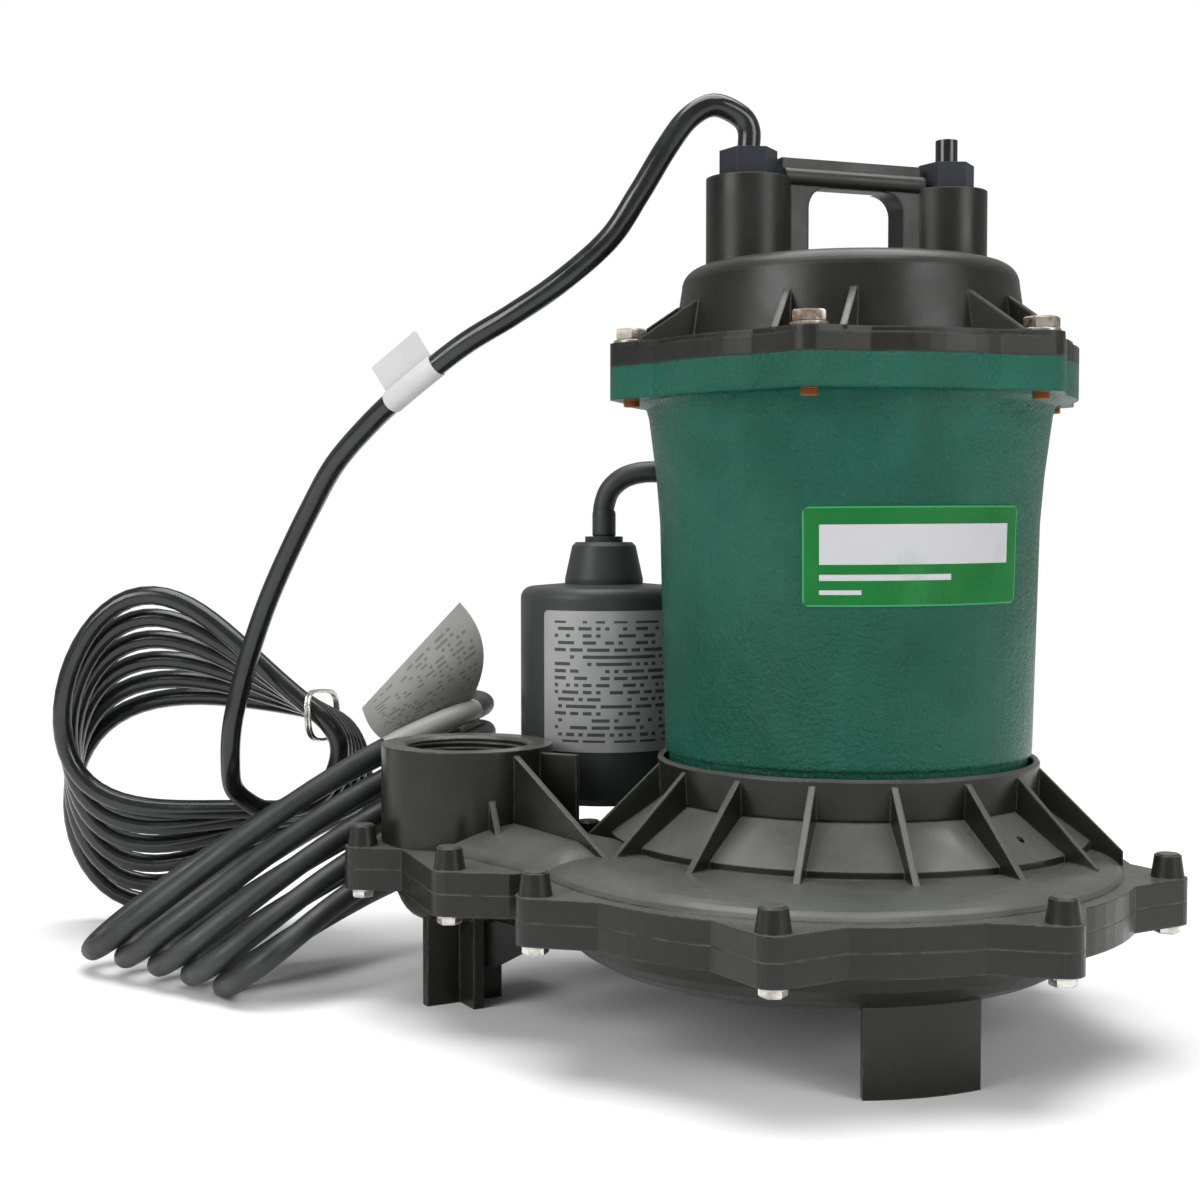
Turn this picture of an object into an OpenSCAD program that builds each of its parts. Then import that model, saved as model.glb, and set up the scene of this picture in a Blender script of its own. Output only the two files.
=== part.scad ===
// Submersible sump pump with a tethered float switch. A cast motor housing
// stands on a moulded volute with three legs; a moulded cover with two cord
// towers and a carrying handle closes the top. The motor, its bearings, the
// shaft and the impeller are inside. Millimetres, +Z up, feet on z = 0.

/* [Volute] */
// Height of the volute's lower flange above the floor
leg_h = 46.3; // [40:0.1:56]
// Thickness of each flange of the volute
flange_t = 8.2; // [7:0.1:11]
// Radius of the wide part of the casing, round its own centre
casing_r = 112.3; // [108:0.1:116]
// How far the casing's centre lies left of the motor's axis
casing_left = 8; // [4:0.5:10]
// How far the casing's centre lies in front of the motor's axis
casing_front = 22; // [18:0.5:25]
// Radius of the back part of the casing, round the motor's axis
core_r = 93; // [91:0.1:96]
// Width of the flat flange outside the swelling of the casing
flange_band = 4.8; // [3:0.1:6]
// Height of the swelling above the upper flange
bulge_h = 6.3; // [5:0.1:9]
// Height of the lowest point of the bowl above the floor
bowl_clear = 25.4; // [20:0.1:30]
// Wall of the mouldings of the volute
volute_wall = 3.8; // [3:0.1:4.5]
// Bolts on the wide part of the casing
casing_bolts = 5; // [4:1:6]
// Distance of the casing's bolts outside its edge
ear_reach = 9.7; // [8:0.1:12]
// Radius of the rounded ear round each bolt
ear_r = 6.8; // [6.2:0.1:8]
// Diameter of the foot of the blind boss over each bolt
boss_d = 11.9; // [11:0.1:12.4]
// Height of each blind boss
boss_h = 8.3; // [7:0.1:12]
// Radius of the curved legs, round the casing's centre
leg_r = 86; // [80:0.5:92]
// Angle that each curved leg covers
leg_arc = 28.6; // [20:0.2:40]
// Thickness of the legs
leg_t = 4.4; // [3.5:0.1:6]

/* [Discharge] */
// How far the discharge lies left of the motor's axis
discharge_left = 149.3; // [146:0.1:153]
// How far the discharge lies behind the motor's axis
discharge_back = 9; // [6:0.5:12]
// Outer radius of the discharge socket
socket_r = 34; // [32:0.1:35]
// Height of the socket above the upper flange
socket_h = 38.1; // [34:0.1:46]
// Radius of the bore that takes the pipe
pipe_bore_r = 24.2; // [22:0.1:26]
// Depth of the pipe bore
pipe_bore_depth = 24; // [20:0.5:28]
// Radius of the water passage under the pipe bore
passage_r = 20.5; // [18:0.1:21.5]

/* [Inlet] */
// Radius of the inlet bore under the impeller
inlet_r = 30; // [26:0.5:34]
// Wall of the inlet's collar
inlet_wall = 5; // [4:0.5:7]
// Height of the inlet's collar below the bowl
inlet_drop = 5; // [3:0.5:8]

/* [Collar] */
// Height of the deck under the motor above the upper flange
deck_rise = 22.2; // [20:0.1:26]
// Thickness of the deck
deck_t = 6; // [5:0.1:7]
// Outer radius of the collar round the motor's foot
collar_r = 72; // [71.5:0.1:74]
// Thickness of the collar
collar_t = 2.5; // [2:0.1:2.8]
// Height of the collar above the deck
collar_h = 14.9; // [12:0.1:16]
// Radius of the lower edge of the sloping panels
panel_r = 90; // [88:0.1:91]
// Height of the small step under the panels
panel_step = 2.5; // [1.5:0.1:3.5]
// Number of ribs round the collar
rib_count = 16; // [12:1:20]
// Angle of the rib that is nearest the front
rib_turn = -99.2; // [-105:0.1:-90]
// Thickness of each rib
rib_t = 2.4; // [1.8:0.1:3.5]
// Radius at which the front ribs end
rib_r = 102; // [98:0.5:106]

/* [Motor housing] */
// Outer radius of the housing at its foot
housing_foot_r = 68.9; // [68.5:0.1:69.3]
// Outer radius of the housing just under its flange
housing_top_r = 73.9; // [72:0.1:76]
// Gap between the collar's rim and the housing's visible foot
foot_gap = 2.4; // [1.5:0.1:4]
// Height of the housing from its visible foot to the cover
housing_h = 142.7; // [135:0.1:160]
// Thickness of the housing's flange
housing_flange_t = 11.9; // [10:0.1:14]
// Radius of the bore that holds the stator
stator_bore_r = 64; // [62:0.1:65]
// Radius of the lobed flange between its ears
lobe_base_r = 84.5; // [83:0.1:86]
// Radius of the cover's bolt circle
cover_bolt_r = 84.6; // [83:0.1:86]
// Number of cover bolts
cover_bolt_count = 6; // [5:1:6]
// Angle of the bolt that is nearest the front
cover_bolt_turn = -98.8; // [-105:0.1:-90]
// Radius of the ear round each cover bolt
cover_ear_r = 8; // [7.4:0.1:9]

/* [Cover] */
// Thickness of the cover's flange
cover_flange_t = 8.7; // [7:0.1:11]
// Radius of the dome at its foot
dome_foot_r = 66.3; // [64:0.1:68]
// Radius of the dome just under its shoulder
dome_top_r = 63; // [61:0.1:63.8]
// Radius of the dome's rounded shoulder
dome_round = 7.5; // [5:0.1:10]
// Height of the dome above the flange
dome_h = 29.8; // [26:0.1:36]
// Wall of the dome
dome_wall = 3.6; // [3:0.1:4.5]
// Distance of each cord tower from the motor's axis
tower_reach = 41.7; // [40:0.1:43]
// Angle of the line through both towers
tower_turn = 27.7; // [20:0.1:35]
// Radius of each cord tower
tower_r = 15.6; // [15:0.1:16.4]
// Height of the towers above the dome
tower_h = 31.2; // [27:0.1:36]
// Thickness of the gussets beside the cover bolts
gusset_t = 2.4; // [1.8:0.1:3.2]
// Distance from each gusset to its bolt's centre line
gusset_side = 11.6; // [11:0.1:13]

/* [Handle] */
// Clear length of the finger opening
grip_gap = 39.6; // [36:0.1:41]
// Height of the finger opening above the dome
grip_clear = 29.2; // [26:0.1:34]
// Height of the rounded grip
grip_h = 6.8; // [6:0.1:9]
// Width of the rounded grip
grip_w = 13; // [11:0.1:16]
// Height of the flat web above the grip
web_h = 3.8; // [3:0.1:6]
// Thickness of the flat web above the grip
web_t = 5; // [4:0.1:7]

/* [Glands] */
// Width of the gland's hexagon across its flats
gland_af = 18.6; // [17.5:0.1:20]
// Height of the gland's hexagon
gland_h = 10.4; // [8:0.1:13]
// Radius of the gland's thread in the tower
gland_thread_r = 8.2; // [7.6:0.1:8.6]
// Depth of the gland's thread in the tower
gland_thread_h = 14; // [10:0.5:17]
// Height of the blank plug above its gland
blank_h = 9.5; // [6:0.1:14]

/* [Motor] */
// Length of the stator's stack
stack_h = 66; // [55:0.5:70]
// Radius of the rotor's core
rotor_r = 37.5; // [35:0.1:40]
// Air gap between the rotor and the stator
air_gap = 0.4; // [0.3:0.05:0.6]
// Radius of the shaft
shaft_r = 8; // [7.5:0.1:8.5]
// Radius of the shaft in the upper bearing
journal_r = 6; // [5.5:0.1:6.5]
// Outer radius of the lower bearing
lower_bearing_r = 20; // [18:0.5:22]
// Width of the lower bearing
lower_bearing_w = 12; // [11:0.5:14]
// Outer radius of the upper bearing
upper_bearing_r = 16; // [14:0.5:18]
// Width of the upper bearing
upper_bearing_w = 10; // [9:0.5:11]
// Radius of the round capacitor
capacitor_r = 12; // [10:0.5:13]
// Length of the round capacitor
capacitor_h = 44; // [38:0.5:48]

/* [Impeller] */
// Radius of the impeller
impeller_r = 57; // [50:0.5:60]
// Number of impeller vanes
vane_count = 6; // [4:1:8]
// Height of the impeller vanes
vane_h = 16; // [12:0.5:20]
// Thickness of the impeller's back plate
shroud_t = 4; // [3:0.1:5]
// Clearance between the impeller and the deck
impeller_gap = 1.6; // [1:0.1:2.5]

/* [Float switch] */
// Radius of the float
float_r = 35.2; // [33:0.1:36.5]
// Height of the float's body
float_h = 90; // [80:0.5:98]
// How far the float hangs left of the motor's axis
float_left = 102; // [100:0.5:106]
// How far the float hangs behind the motor's axis
float_back = 65.5; // [64:0.5:68]
// Height of the float's lower face above the floor
float_low = 72.5; // [70:0.5:80]
// Height of the float's tapered neck
neck_h = 17.5; // [14:0.5:20]
// Radius of the neck at the float
neck_r = 16.5; // [15:0.1:18]

/* [Cords] */
// Diameter of the power cord
cord_d = 8.4; // [8:0.1:8.6]
// Diameter of the float switch's cord
float_cord_d = 9; // [8.6:0.1:9.2]

/* [Fasteners] */
// Radius of the cover bolts' shanks
bolt_r = 3.17; // [3:0.01:3.3]
// Width of the cover bolts' heads across the flats
bolt_af = 11.1; // [10.5:0.1:12]
// Length of each cover bolt's tip below the housing's flange
bolt_tip = 2.4; // [1.5:0.1:4]
// Radius of the volute screws' shanks
screw_r = 2.4; // [2.2:0.05:2.6]
// Width of the volute screws' heads across the flats
screw_af = 8; // [7.5:0.1:8.6]

/* [Hidden] */

fit = 0.05;        // radial clearance of turned seats and running fits
seat = 0.3;        // clearance of moulded pieces and of skins
round_fn = 96;     // any round face
hex_fn = 6;

moulded = [0.13, 0.13, 0.12];
green_paint = [0.07, 0.36, 0.26];
steel = [0.62, 0.58, 0.52];
rubber = [0.05, 0.05, 0.05];

// Heights from the floor up
part_z = leg_h + flange_t;
top_z = part_z + flange_t;
bulge_z = top_z + bulge_h;
deck_z = top_z + deck_rise;
rim_z = deck_z + collar_h;
foot_z = rim_z + foot_gap;
cover_z = foot_z + housing_h;
flange_under_z = cover_z - housing_flange_t;
cap_z = cover_z + cover_flange_t;
dome_z = cap_z + dome_h;
tower_z = dome_z + tower_h;
gland_z = tower_z + gland_h;
socket_z = top_z + socket_h;

// Plan positions relative to the motor's axis
casing_at = [-casing_left, -casing_front];
discharge_at = [-discharge_left, discharge_back];
pad_r = socket_r + 0.5;
casing_bolt_r = casing_r + ear_reach;
core_bolt_r = core_r + ear_reach - 1.7;
pad_bolt_r = pad_r + ear_reach - 1.4;
casing_bolt_turns = [for (i = [0:casing_bolts - 1]) 38.5 - 45 * i];
core_bolt_turns = [84, 128, 175];
pad_bolt_turns = [-150, 75];
throat_bolt = casing_at + 138.5 * [cos(-166), sin(-166)];
function on(centre, r, turn) = centre + r * [cos(turn), sin(turn)];
casing_ears = [for (a = casing_bolt_turns) on(casing_at, casing_bolt_r, a)];
core_ears = [for (a = core_bolt_turns) on([0, 0], core_bolt_r, a)];
pad_ears = [for (a = pad_bolt_turns) on(discharge_at, pad_bolt_r, a)];
volute_bolts = concat(casing_ears, core_ears, pad_ears, [throat_bolt]);
cover_bolts_at = [for (i = [0:cover_bolt_count - 1])
    on([0, 0], cover_bolt_r, cover_bolt_turn + 360 * i / cover_bolt_count)];

// The origin is under the middle of the pump's outline, so the motor's axis
// stands a little to the right of it and behind it.
left_x = min([for (b = volute_bolts) b[0]]) - ear_r;
right_x = max([for (b = volute_bolts) b[0]]) + ear_r;
front_y = min([for (b = volute_bolts) b[1]]) - ear_r;
back_y = max([for (b = volute_bolts) b[1]]) + ear_r;
motor_at = [-(left_x + right_x) / 2, -(front_y + back_y) / 2, 0];

module at_motor(x = 0, y = 0, z = 0) translate(motor_at + [x, y, z]) children();
module towers(z = 0) for (side = [-1, 1])
    at_motor(z = z) rotate([0, 0, tower_turn]) translate([side * tower_reach, 0, 0]) children();

// A quarter of an ellipse in a profile, from its side to its top
function quarter(r_in, z_low, r_wide, z_high, steps = 8) = [for (i = [0:steps])
    [r_in + r_wide * cos(90 * i / steps), z_low + z_high * sin(90 * i / steps)]];

// Point where a line from a foot touches a round ear
function touch(foot, ear, r, side) = let (
    d = ear - foot, far = norm(d), base = atan2(d[1], d[0]), half = asin(r / far))
    foot + sqrt(far * far - r * r) * [cos(base + side * half), sin(base + side * half)];

// An outline with its inner corners rounded
module soft_corners(r = 1) offset(r = -r, $fn = 24) offset(delta = r) children();

// An ear: a round end that flows into two feet on the flange's edge
module ear(at, r, foot_a, foot_b, middle) {
    translate(at) circle(r = r, $fn = 24);
    polygon([middle, foot_a, touch(foot_a, at, r, -1), at, touch(foot_b, at, r, 1), foot_b]);
}

module ear_on(at, r, centre, base_r, spread) {
    d = at - centre;
    turn = atan2(d[1], d[0]);
    ear(at, r, on(centre, base_r, turn - spread), on(centre, base_r, turn + spread), centre);
}

/* ---------- volute ---------- */
// Plan of the casing: wide in front, round the motor's axis behind
wedge_from = 118;
wedge_to = 186;
wedge_mid = (wedge_from + wedge_to) / 2;
module behind_wedge(wall = 0)
    translate(-wall / sin(wedge_mid - wedge_from) * [cos(wedge_mid), sin(wedge_mid)])
        polygon([[0, 0], 400 * [cos(wedge_from), sin(wedge_from)],
            400 * [cos(wedge_mid), sin(wedge_mid)], 400 * [cos(wedge_to), sin(wedge_to)]]);

throat_front = on(casing_at, casing_r + 6, -160);
throat_back = on([0, 0], core_r - 3, wedge_to);

module throat_2d(inset = 0) polygon([
    throat_back + inset * [1, -1.6], on(discharge_at, pad_r - inset, 8), discharge_at,
    on(discharge_at, pad_r - inset, -125), throat_front + inset * [0.2, 1.3],
    [-casing_left, -casing_front]]);

module casing_2d(grow = 0) {
    difference() {
        translate(casing_at) circle(r = casing_r + grow, $fn = round_fn);
        behind_wedge();
    }
    circle(r = core_r + grow, $fn = round_fn);
}

// Outline of the flange without its ears
module body_2d() {
    casing_2d();
    throat_2d();
    translate(discharge_at) circle(r = pad_r, $fn = round_fn);
}

module flange_2d() soft_corners() {
    body_2d();
    for (b = casing_ears) ear_on(b, ear_r, casing_at, casing_r - 0.5, 11.5);
    for (b = core_ears) ear_on(b, ear_r, [0, 0], core_r - 0.5, 13);
    for (b = pad_ears) ear_on(b, ear_r, discharge_at, pad_r - 0.5, 25);
    ear(throat_bolt, ear_r, on(discharge_at, pad_r, -125), throat_front, discharge_at);
}

module front_region(h, wall) difference() {
    linear_extrude(h) translate([-300, -300]) square([600, 600]);
    translate([0, 0, -1]) linear_extrude(h + 2) behind_wedge(wall);
}

// A body turned round both the casing's centre and the motor's axis; a space
// inside it stays a wall away from the step between them
module two_centre(wide, core, wall = 0) {
    intersection() {
        translate([casing_at[0], casing_at[1], 0]) rotate_extrude($fn = round_fn) polygon(wide);
        front_region(200, wall);
    }
    rotate_extrude($fn = round_fn) polygon(core);
}

function swell(r_edge, r_flat, z_low, z_high) =
    concat([[0, z_low]], quarter(r_flat, z_low, r_edge - r_flat, z_high - z_low), [[0, z_high]]);

module bulge_skin() two_centre(
    swell(casing_r - flange_band, casing_r - 26, top_z - 1, bulge_z),
    swell(core_r - flange_band / 2, core_r - 10, top_z - 1, bulge_z));

module throat_hump(r, z) translate([discharge_at[0], discharge_at[1], z])
    rotate([0, 0, -42]) rotate([0, 90, 0]) cylinder(r = r, h = 75, $fn = round_fn);

module collar_and_panels() {
    panel_top_r = collar_r - 1;
    panel_low_z = bulge_z + panel_step;
    rotate_extrude($fn = round_fn) polygon([
        [0, top_z], [panel_r, top_z], [panel_r, panel_low_z], [panel_top_r, deck_z],
        [collar_r - 0.6, deck_z + 1], [collar_r, rim_z - 1], [collar_r - 0.6, rim_z],
        [collar_r - collar_t + 0.6, rim_z], [collar_r - collar_t, rim_z - 0.6],
        [collar_r - collar_t, deck_z], [0, deck_z]]);
}

module rib(turn, r_end) rotate([0, 0, turn]) rotate([90, 0, 0])
    translate([0, 0, -rib_t / 2]) linear_extrude(rib_t) polygon([
        [collar_r - collar_t / 2, rim_z - 1.2], [collar_r - collar_t / 2, top_z],
        [r_end, top_z], [r_end, bulge_z - 1.2]]);

function is_back(turn) = turn > 10 && turn < 182;
module collar_ribs() for (i = [0:rib_count - 1]) {
    turn = rib_turn + 360 * i / rib_count;
    rib(turn, is_back(turn) ? core_r - flange_band : rib_r);
}

// Gussets from the discharge socket to the casing and to its own pad
module slope_plate(from, to, z_from, z_to, z_low) {
    d = to - from;
    translate([from[0], from[1], 0]) rotate([0, 0, atan2(d[1], d[0])]) rotate([90, 0, 0])
        translate([0, 0, -rib_t / 2]) linear_extrude(rib_t)
            polygon([[0, z_low], [norm(d), z_low], [norm(d), z_to], [0, z_from]]);
}

rib_a_end = on([0, 0], rib_r + 2, rib_turn - 2 * 360 / rib_count);
module socket_gussets() {
    slope_plate(on(discharge_at, socket_r - 2, -44), rib_a_end, socket_z - 1, bulge_z, top_z);
    slope_plate(on(discharge_at, socket_r - 2, -20), on(discharge_at, socket_r + 16, -20),
        socket_z - 2, socket_z - 2, top_z);
    slope_plate(on(discharge_at, socket_r - 2, -62), on(discharge_at, socket_r + 11, -62),
        socket_z - 16, bulge_z - 2, top_z);
}

module blind_bosses() for (b = volute_bolts) translate([b[0], b[1], top_z - 0.5]) {
    cylinder(d1 = boss_d, d2 = 9.4, h = boss_h, $fn = 48);
    cylinder(d1 = 9.2, d2 = 8, h = boss_h + 0.5, $fn = 48);
}

// Water space above the parting plane
module upper_water() {
    chamber_z = deck_z - deck_t;
    water_r = min(panel_r, core_r) - 6;
    rotate_extrude($fn = round_fn) polygon([[0, part_z - 1], [water_r, part_z - 1],
        [water_r, bulge_z - volute_wall], [collar_r - 6, chamber_z - 1], [collar_r - 8, chamber_z],
        [0, chamber_z]]);
    two_centre(swell(casing_r - 11, casing_r - 26, part_z - 1, bulge_z - volute_wall),
        swell(core_r - 9, core_r - 16, part_z - 1, bulge_z - volute_wall), volute_wall);
    translate([0, 0, part_z - 1]) linear_extrude(bulge_z - volute_wall - part_z + 1)
        intersection() {
            throat_2d(inset = 11);
            translate(discharge_at) rotate(-42) translate([-2, 2 - passage_r])
                square([100, 2 * passage_r - 4]);
        }
}

module discharge_bores() {
    translate([discharge_at[0], discharge_at[1], 0]) {
        translate([0, 0, part_z - 1]) cylinder(r = passage_r, h = socket_h + flange_t, $fn = round_fn);
        translate([0, 0, socket_z - pipe_bore_depth])
            cylinder(r = pipe_bore_r, h = pipe_bore_depth + 1, $fn = round_fn);
        translate([0, 0, socket_z - 1.2])
            cylinder(r1 = pipe_bore_r, r2 = pipe_bore_r + 1.4, h = 1.4, $fn = round_fn);
    }
}

housing_screw_turns = [45, 135, 225, 315];
housing_screw_r = 50;
module volute_top() color(moulded) at_motor() difference() {
    union() {
        translate([0, 0, part_z]) linear_extrude(flange_t) flange_2d();
        bulge_skin();
        difference() {
            union() {
                throat_hump(28, top_z - 18);
                translate([discharge_at[0], discharge_at[1], part_z])
                    cylinder(r = socket_r, h = socket_z - part_z, $fn = round_fn);
            }
            translate([-300, -300, 0]) cube([600, 600, part_z + 2]);
        }
        collar_and_panels();
        collar_ribs();
        socket_gussets();
        blind_bosses();
    }
    upper_water();
    discharge_bores();
    // seat of the shaft seal
    translate([0, 0, deck_z - deck_t - 1]) cylinder(r = seal_r + fit, h = deck_t + 2, $fn = round_fn);
    for (a = housing_screw_turns) rotate([0, 0, a]) translate([housing_screw_r, 0, deck_z - deck_t - 1]) {
        cylinder(r = screw_r + 0.3, h = deck_t + 2, $fn = 32);
        cylinder(r = 5, h = 4, $fn = 32);
    }
    for (b = volute_bolts) translate([b[0], b[1], part_z - 1])
        cylinder(r = screw_r + fit, h = flange_t + 1 + boss_h - 3, $fn = 32);
    // vent hole in a panel
    rotate([0, 0, rib_turn + 2.55 * 360 / rib_count]) translate([panel_r - 9, 0, top_z])
        cylinder(r = 1.4, h = 40, $fn = 24);
}

// Bowl below the parting plane
bowl_flat_r = casing_r - 50;
module bowl_profile_pair(skin) two_centre(
    bowl(casing_r - flange_band - 3 - skin, bowl_flat_r, bowl_clear + skin * 0.95),
    bowl(core_r - flange_band / 2 - 1 - skin, bowl_flat_r - 10, bowl_clear + skin * 0.95), skin);
function bowl(r_edge, r_flat, z_low) = let (drop = part_z - z_low)
    concat([[0, part_z + 1], [r_edge, part_z + 1]],
        [for (i = [0:8]) [r_flat + (r_edge - r_flat) * cos(90 * i / 8), part_z - drop * sin(90 * i / 8)]],
        [[0, z_low]]);

module elbow_under(r, z_low) {
    drop = part_z - z_low;
    duct_r = drop - 1.4;
    translate([discharge_at[0], discharge_at[1], 0]) rotate_extrude($fn = round_fn)
        polygon(concat([[0, part_z]], [for (i = [0:8])
            [r - 12 + 12 * cos(90 * i / 8), part_z - drop * sin(90 * i / 8)]], [[0, z_low]]));
    intersection() {
        translate([discharge_at[0], discharge_at[1], part_z]) rotate([0, 0, -42])
            rotate([0, 90, 0]) cylinder(r = duct_r, h = 90, $fn = round_fn);
        translate([-300, -300, 0]) cube([600, 600, part_z]);
    }
}

module curved_leg(turn) {
    translate([casing_at[0], casing_at[1], 0]) {
        rotate([0, 0, turn - leg_arc / 2]) rotate_extrude(angle = leg_arc, $fn = round_fn)
            translate([leg_r - leg_t, 0]) square([leg_t, part_z - 4]);
        rotate([0, 0, turn]) translate([leg_r - 24, -leg_t / 2, 0]) cube([22, leg_t, part_z - 4]);
    }
}

module cross_leg() translate([discharge_at[0], discharge_at[1] - 10, 0]) rotate([0, 0, 37]) {
    translate([-16, -leg_t / 2, 0]) cube([32, leg_t, part_z - 4]);
    translate([-leg_t / 2, -15, 0]) cube([leg_t, 30, part_z - 4]);
    rotate([0, 0, -37]) rotate([90, 0, 0]) translate([0, 0, -leg_t / 2]) linear_extrude(leg_t)
        polygon([[0, 14], [14, 14], [62, 40], [0, 40]]);
}

leg_turns = [-66.4, 53.6];
module volute_bottom() color(moulded) at_motor() difference() {
    union() {
        translate([0, 0, leg_h]) linear_extrude(flange_t) flange_2d();
        intersection() {
            bowl_profile_pair(0);
            translate([-300, -300, 0]) cube([600, 600, part_z]);
        }
        elbow_under(30, leg_h - 14);
        for (a = leg_turns) curved_leg(a);
        cross_leg();
        translate([0, 0, bowl_clear - inlet_drop])
            cylinder(r = inlet_r + inlet_wall, h = inlet_drop + volute_wall, $fn = round_fn);
    }
    bowl_profile_pair(volute_wall);
    elbow_under(30 - volute_wall, leg_h - 14 + volute_wall);
    translate([0, 0, bowl_clear - inlet_drop - 1]) cylinder(r = inlet_r, h = 20, $fn = round_fn);
    translate([0, 0, part_z - seal_groove]) linear_extrude(seal_groove + 1) seal_ring_2d();
    for (b = volute_bolts) translate([b[0], b[1], leg_h - 1])
        cylinder(r = screw_r + 0.4, h = flange_t + 2, $fn = 32);
}

seal_groove = 1.2;
seal_inset = 4.4;
seal_w = 2.8;
module seal_ring_2d(slack = 0) difference() {
    offset(delta = -seal_inset - slack) body_2d();
    offset(delta = -seal_inset - seal_w + slack) body_2d();
}
module volute_seal() color(rubber) at_motor(z = part_z - seal_groove)
    linear_extrude(seal_groove) seal_ring_2d(slack = 0.2);

// Hex washer-head screws, driven up from below
module washer_head(af, h, washer_r) {
    cylinder(r = af / 2 / cos(30), h = h, $fn = hex_fn);
    translate([0, 0, h - 1]) cylinder(r = washer_r, h = 1, $fn = 32);
}
module volute_screws() color(steel) at_motor() for (b = volute_bolts)
    translate([b[0], b[1], leg_h - 3.7]) {
        difference() {
            washer_head(screw_af, 3.7, 4.8);
            translate([-5, -0.6, -0.1]) cube([10, 1.2, 1.3]);
        }
        cylinder(r = screw_r, h = 3.7 + 2 * flange_t + boss_h - 4, $fn = 32);
    }

/* ---------- motor housing ---------- */
module lobed_2d(base_r, foot_r) soft_corners() {
    circle(r = base_r, $fn = round_fn);
    for (b = cover_bolts_at) ear_on(b, cover_ear_r, [0, 0], foot_r, 15);
}

spigot_r = collar_r - collar_t - 2;
floor_t = 8;
boss_r = lower_bearing_r + 6;
bearing_z = deck_z + floor_t + 5;
stack_z = bearing_z + lower_bearing_w + 24;
bracket_z = cover_z - 21;
bracket_t = 5;
recess_r = stator_bore_r + 2.5;
seal_r = 16;
// Outside of the housing from its foot to its flange
housing_side = [[housing_foot_r, foot_z], [housing_foot_r + 0.2, foot_z + 4],
    [(housing_foot_r + housing_top_r) / 2 - 0.3, foot_z + 0.6 * housing_h],
    [housing_top_r - 1.4, flange_under_z - 28], [housing_top_r, flange_under_z - 17],
    [housing_top_r + 1.4, flange_under_z - 6], [housing_top_r + 2.4, flange_under_z - 2.4],
    [housing_top_r + 4.8, flange_under_z]];
module motor_housing() color(green_paint) at_motor() difference() {
    union() {
        rotate_extrude($fn = round_fn) polygon(concat(
            [[0, deck_z], [spigot_r, deck_z], [spigot_r, foot_z]], housing_side,
            [[housing_top_r + 4.8, cover_z - 2], [0, cover_z - 2]]));
        translate([0, 0, flange_under_z]) linear_extrude(housing_flange_t)
            lobed_2d(lobe_base_r, lobe_base_r - 0.5);
    }
    // stator bore, recess for the bearing bracket and mouth
    translate([0, 0, deck_z + floor_t]) difference() {
        cylinder(r = stator_bore_r, h = 200, $fn = round_fn);
        translate([0, 0, -1]) cylinder(r = boss_r, h = 1 + 5 + lower_bearing_w, $fn = round_fn);
    }
    translate([0, 0, bracket_z]) cylinder(r = recess_r, h = 60, $fn = round_fn);
    translate([0, 0, bearing_z]) cylinder(r = lower_bearing_r + fit, h = 40, $fn = round_fn);
    translate([0, 0, deck_z - 1]) cylinder(r = seal_r + fit, h = 30, $fn = round_fn);
    for (b = cover_bolts_at) translate([b[0], b[1], flange_under_z - 20])
        cylinder(r = bolt_r + fit, h = 60, $fn = 32);
    for (a = housing_screw_turns) rotate([0, 0, a]) translate([housing_screw_r, 0, deck_z - 1])
        cylinder(r = screw_r + fit, h = floor_t - 1, $fn = 32);
}

module foot_seal() color(rubber) at_motor(z = deck_z + 2.2) rotate_extrude($fn = round_fn)
    translate([(spigot_r + collar_r - collar_t) / 2, 0]) circle(r = 0.95, $fn = 16);

module housing_screws() color(steel) at_motor() for (a = housing_screw_turns) rotate([0, 0, a])
    translate([housing_screw_r, 0, deck_z - deck_t + 0.4]) {
        cylinder(r = 4.4, h = 2.6, $fn = 32);
        cylinder(r = screw_r, h = deck_t - 0.4 + floor_t - 3, $fn = 32);
    }

// Bare sticker that wraps round the front of the housing
label_w = 68.5;
label_h = 34.4;
label_z = foot_z + 57.2;
label_t = 0.5;
label_top_z = label_z + label_h;
label_steps = concat([label_z],
    [for (p = housing_side) if (p[1] > label_z + 1 && p[1] < label_top_z - 1) p[1]], [label_top_z]);
function housing_r_at(z) = lookup(z, [for (p = housing_side) [p[1], p[0]]]) + fit;
module housing_label() color([0.1, 0.55, 0.2]) at_motor() rotate([0, 0, -102.5])
    rotate_extrude(angle = label_w, $fn = round_fn) polygon(concat(
        [for (z = label_steps) [housing_r_at(z) + label_t, z]],
        [for (i = [len(label_steps) - 1:-1:0]) [housing_r_at(label_steps[i]), label_steps[i]]]));

/* ---------- motor ---------- */
module ring(r_out, r_in, h) difference() {
    cylinder(r = r_out, h = h, $fn = round_fn);
    translate([0, 0, -1]) cylinder(r = r_in, h = h + 2, $fn = round_fn);
}

module stator() color([0.45, 0.45, 0.47]) at_motor(z = stack_z)
    ring(stator_bore_r - fit, rotor_r + air_gap, stack_h);

winding_r = [rotor_r + 4, stator_bore_r - 5];
winding_h = 15;
module winding_end() rotate_extrude($fn = round_fn) polygon([
    [winding_r[0], 0], [winding_r[1], 0], [winding_r[1], winding_h - 4],
    [winding_r[1] - 4, winding_h], [winding_r[0] + 4, winding_h], [winding_r[0], winding_h - 4]]);
module stator_windings() color([0.7, 0.35, 0.15]) at_motor() {
    translate([0, 0, stack_z + stack_h]) winding_end();
    translate([0, 0, stack_z]) mirror([0, 0, 1]) winding_end();
}

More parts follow.
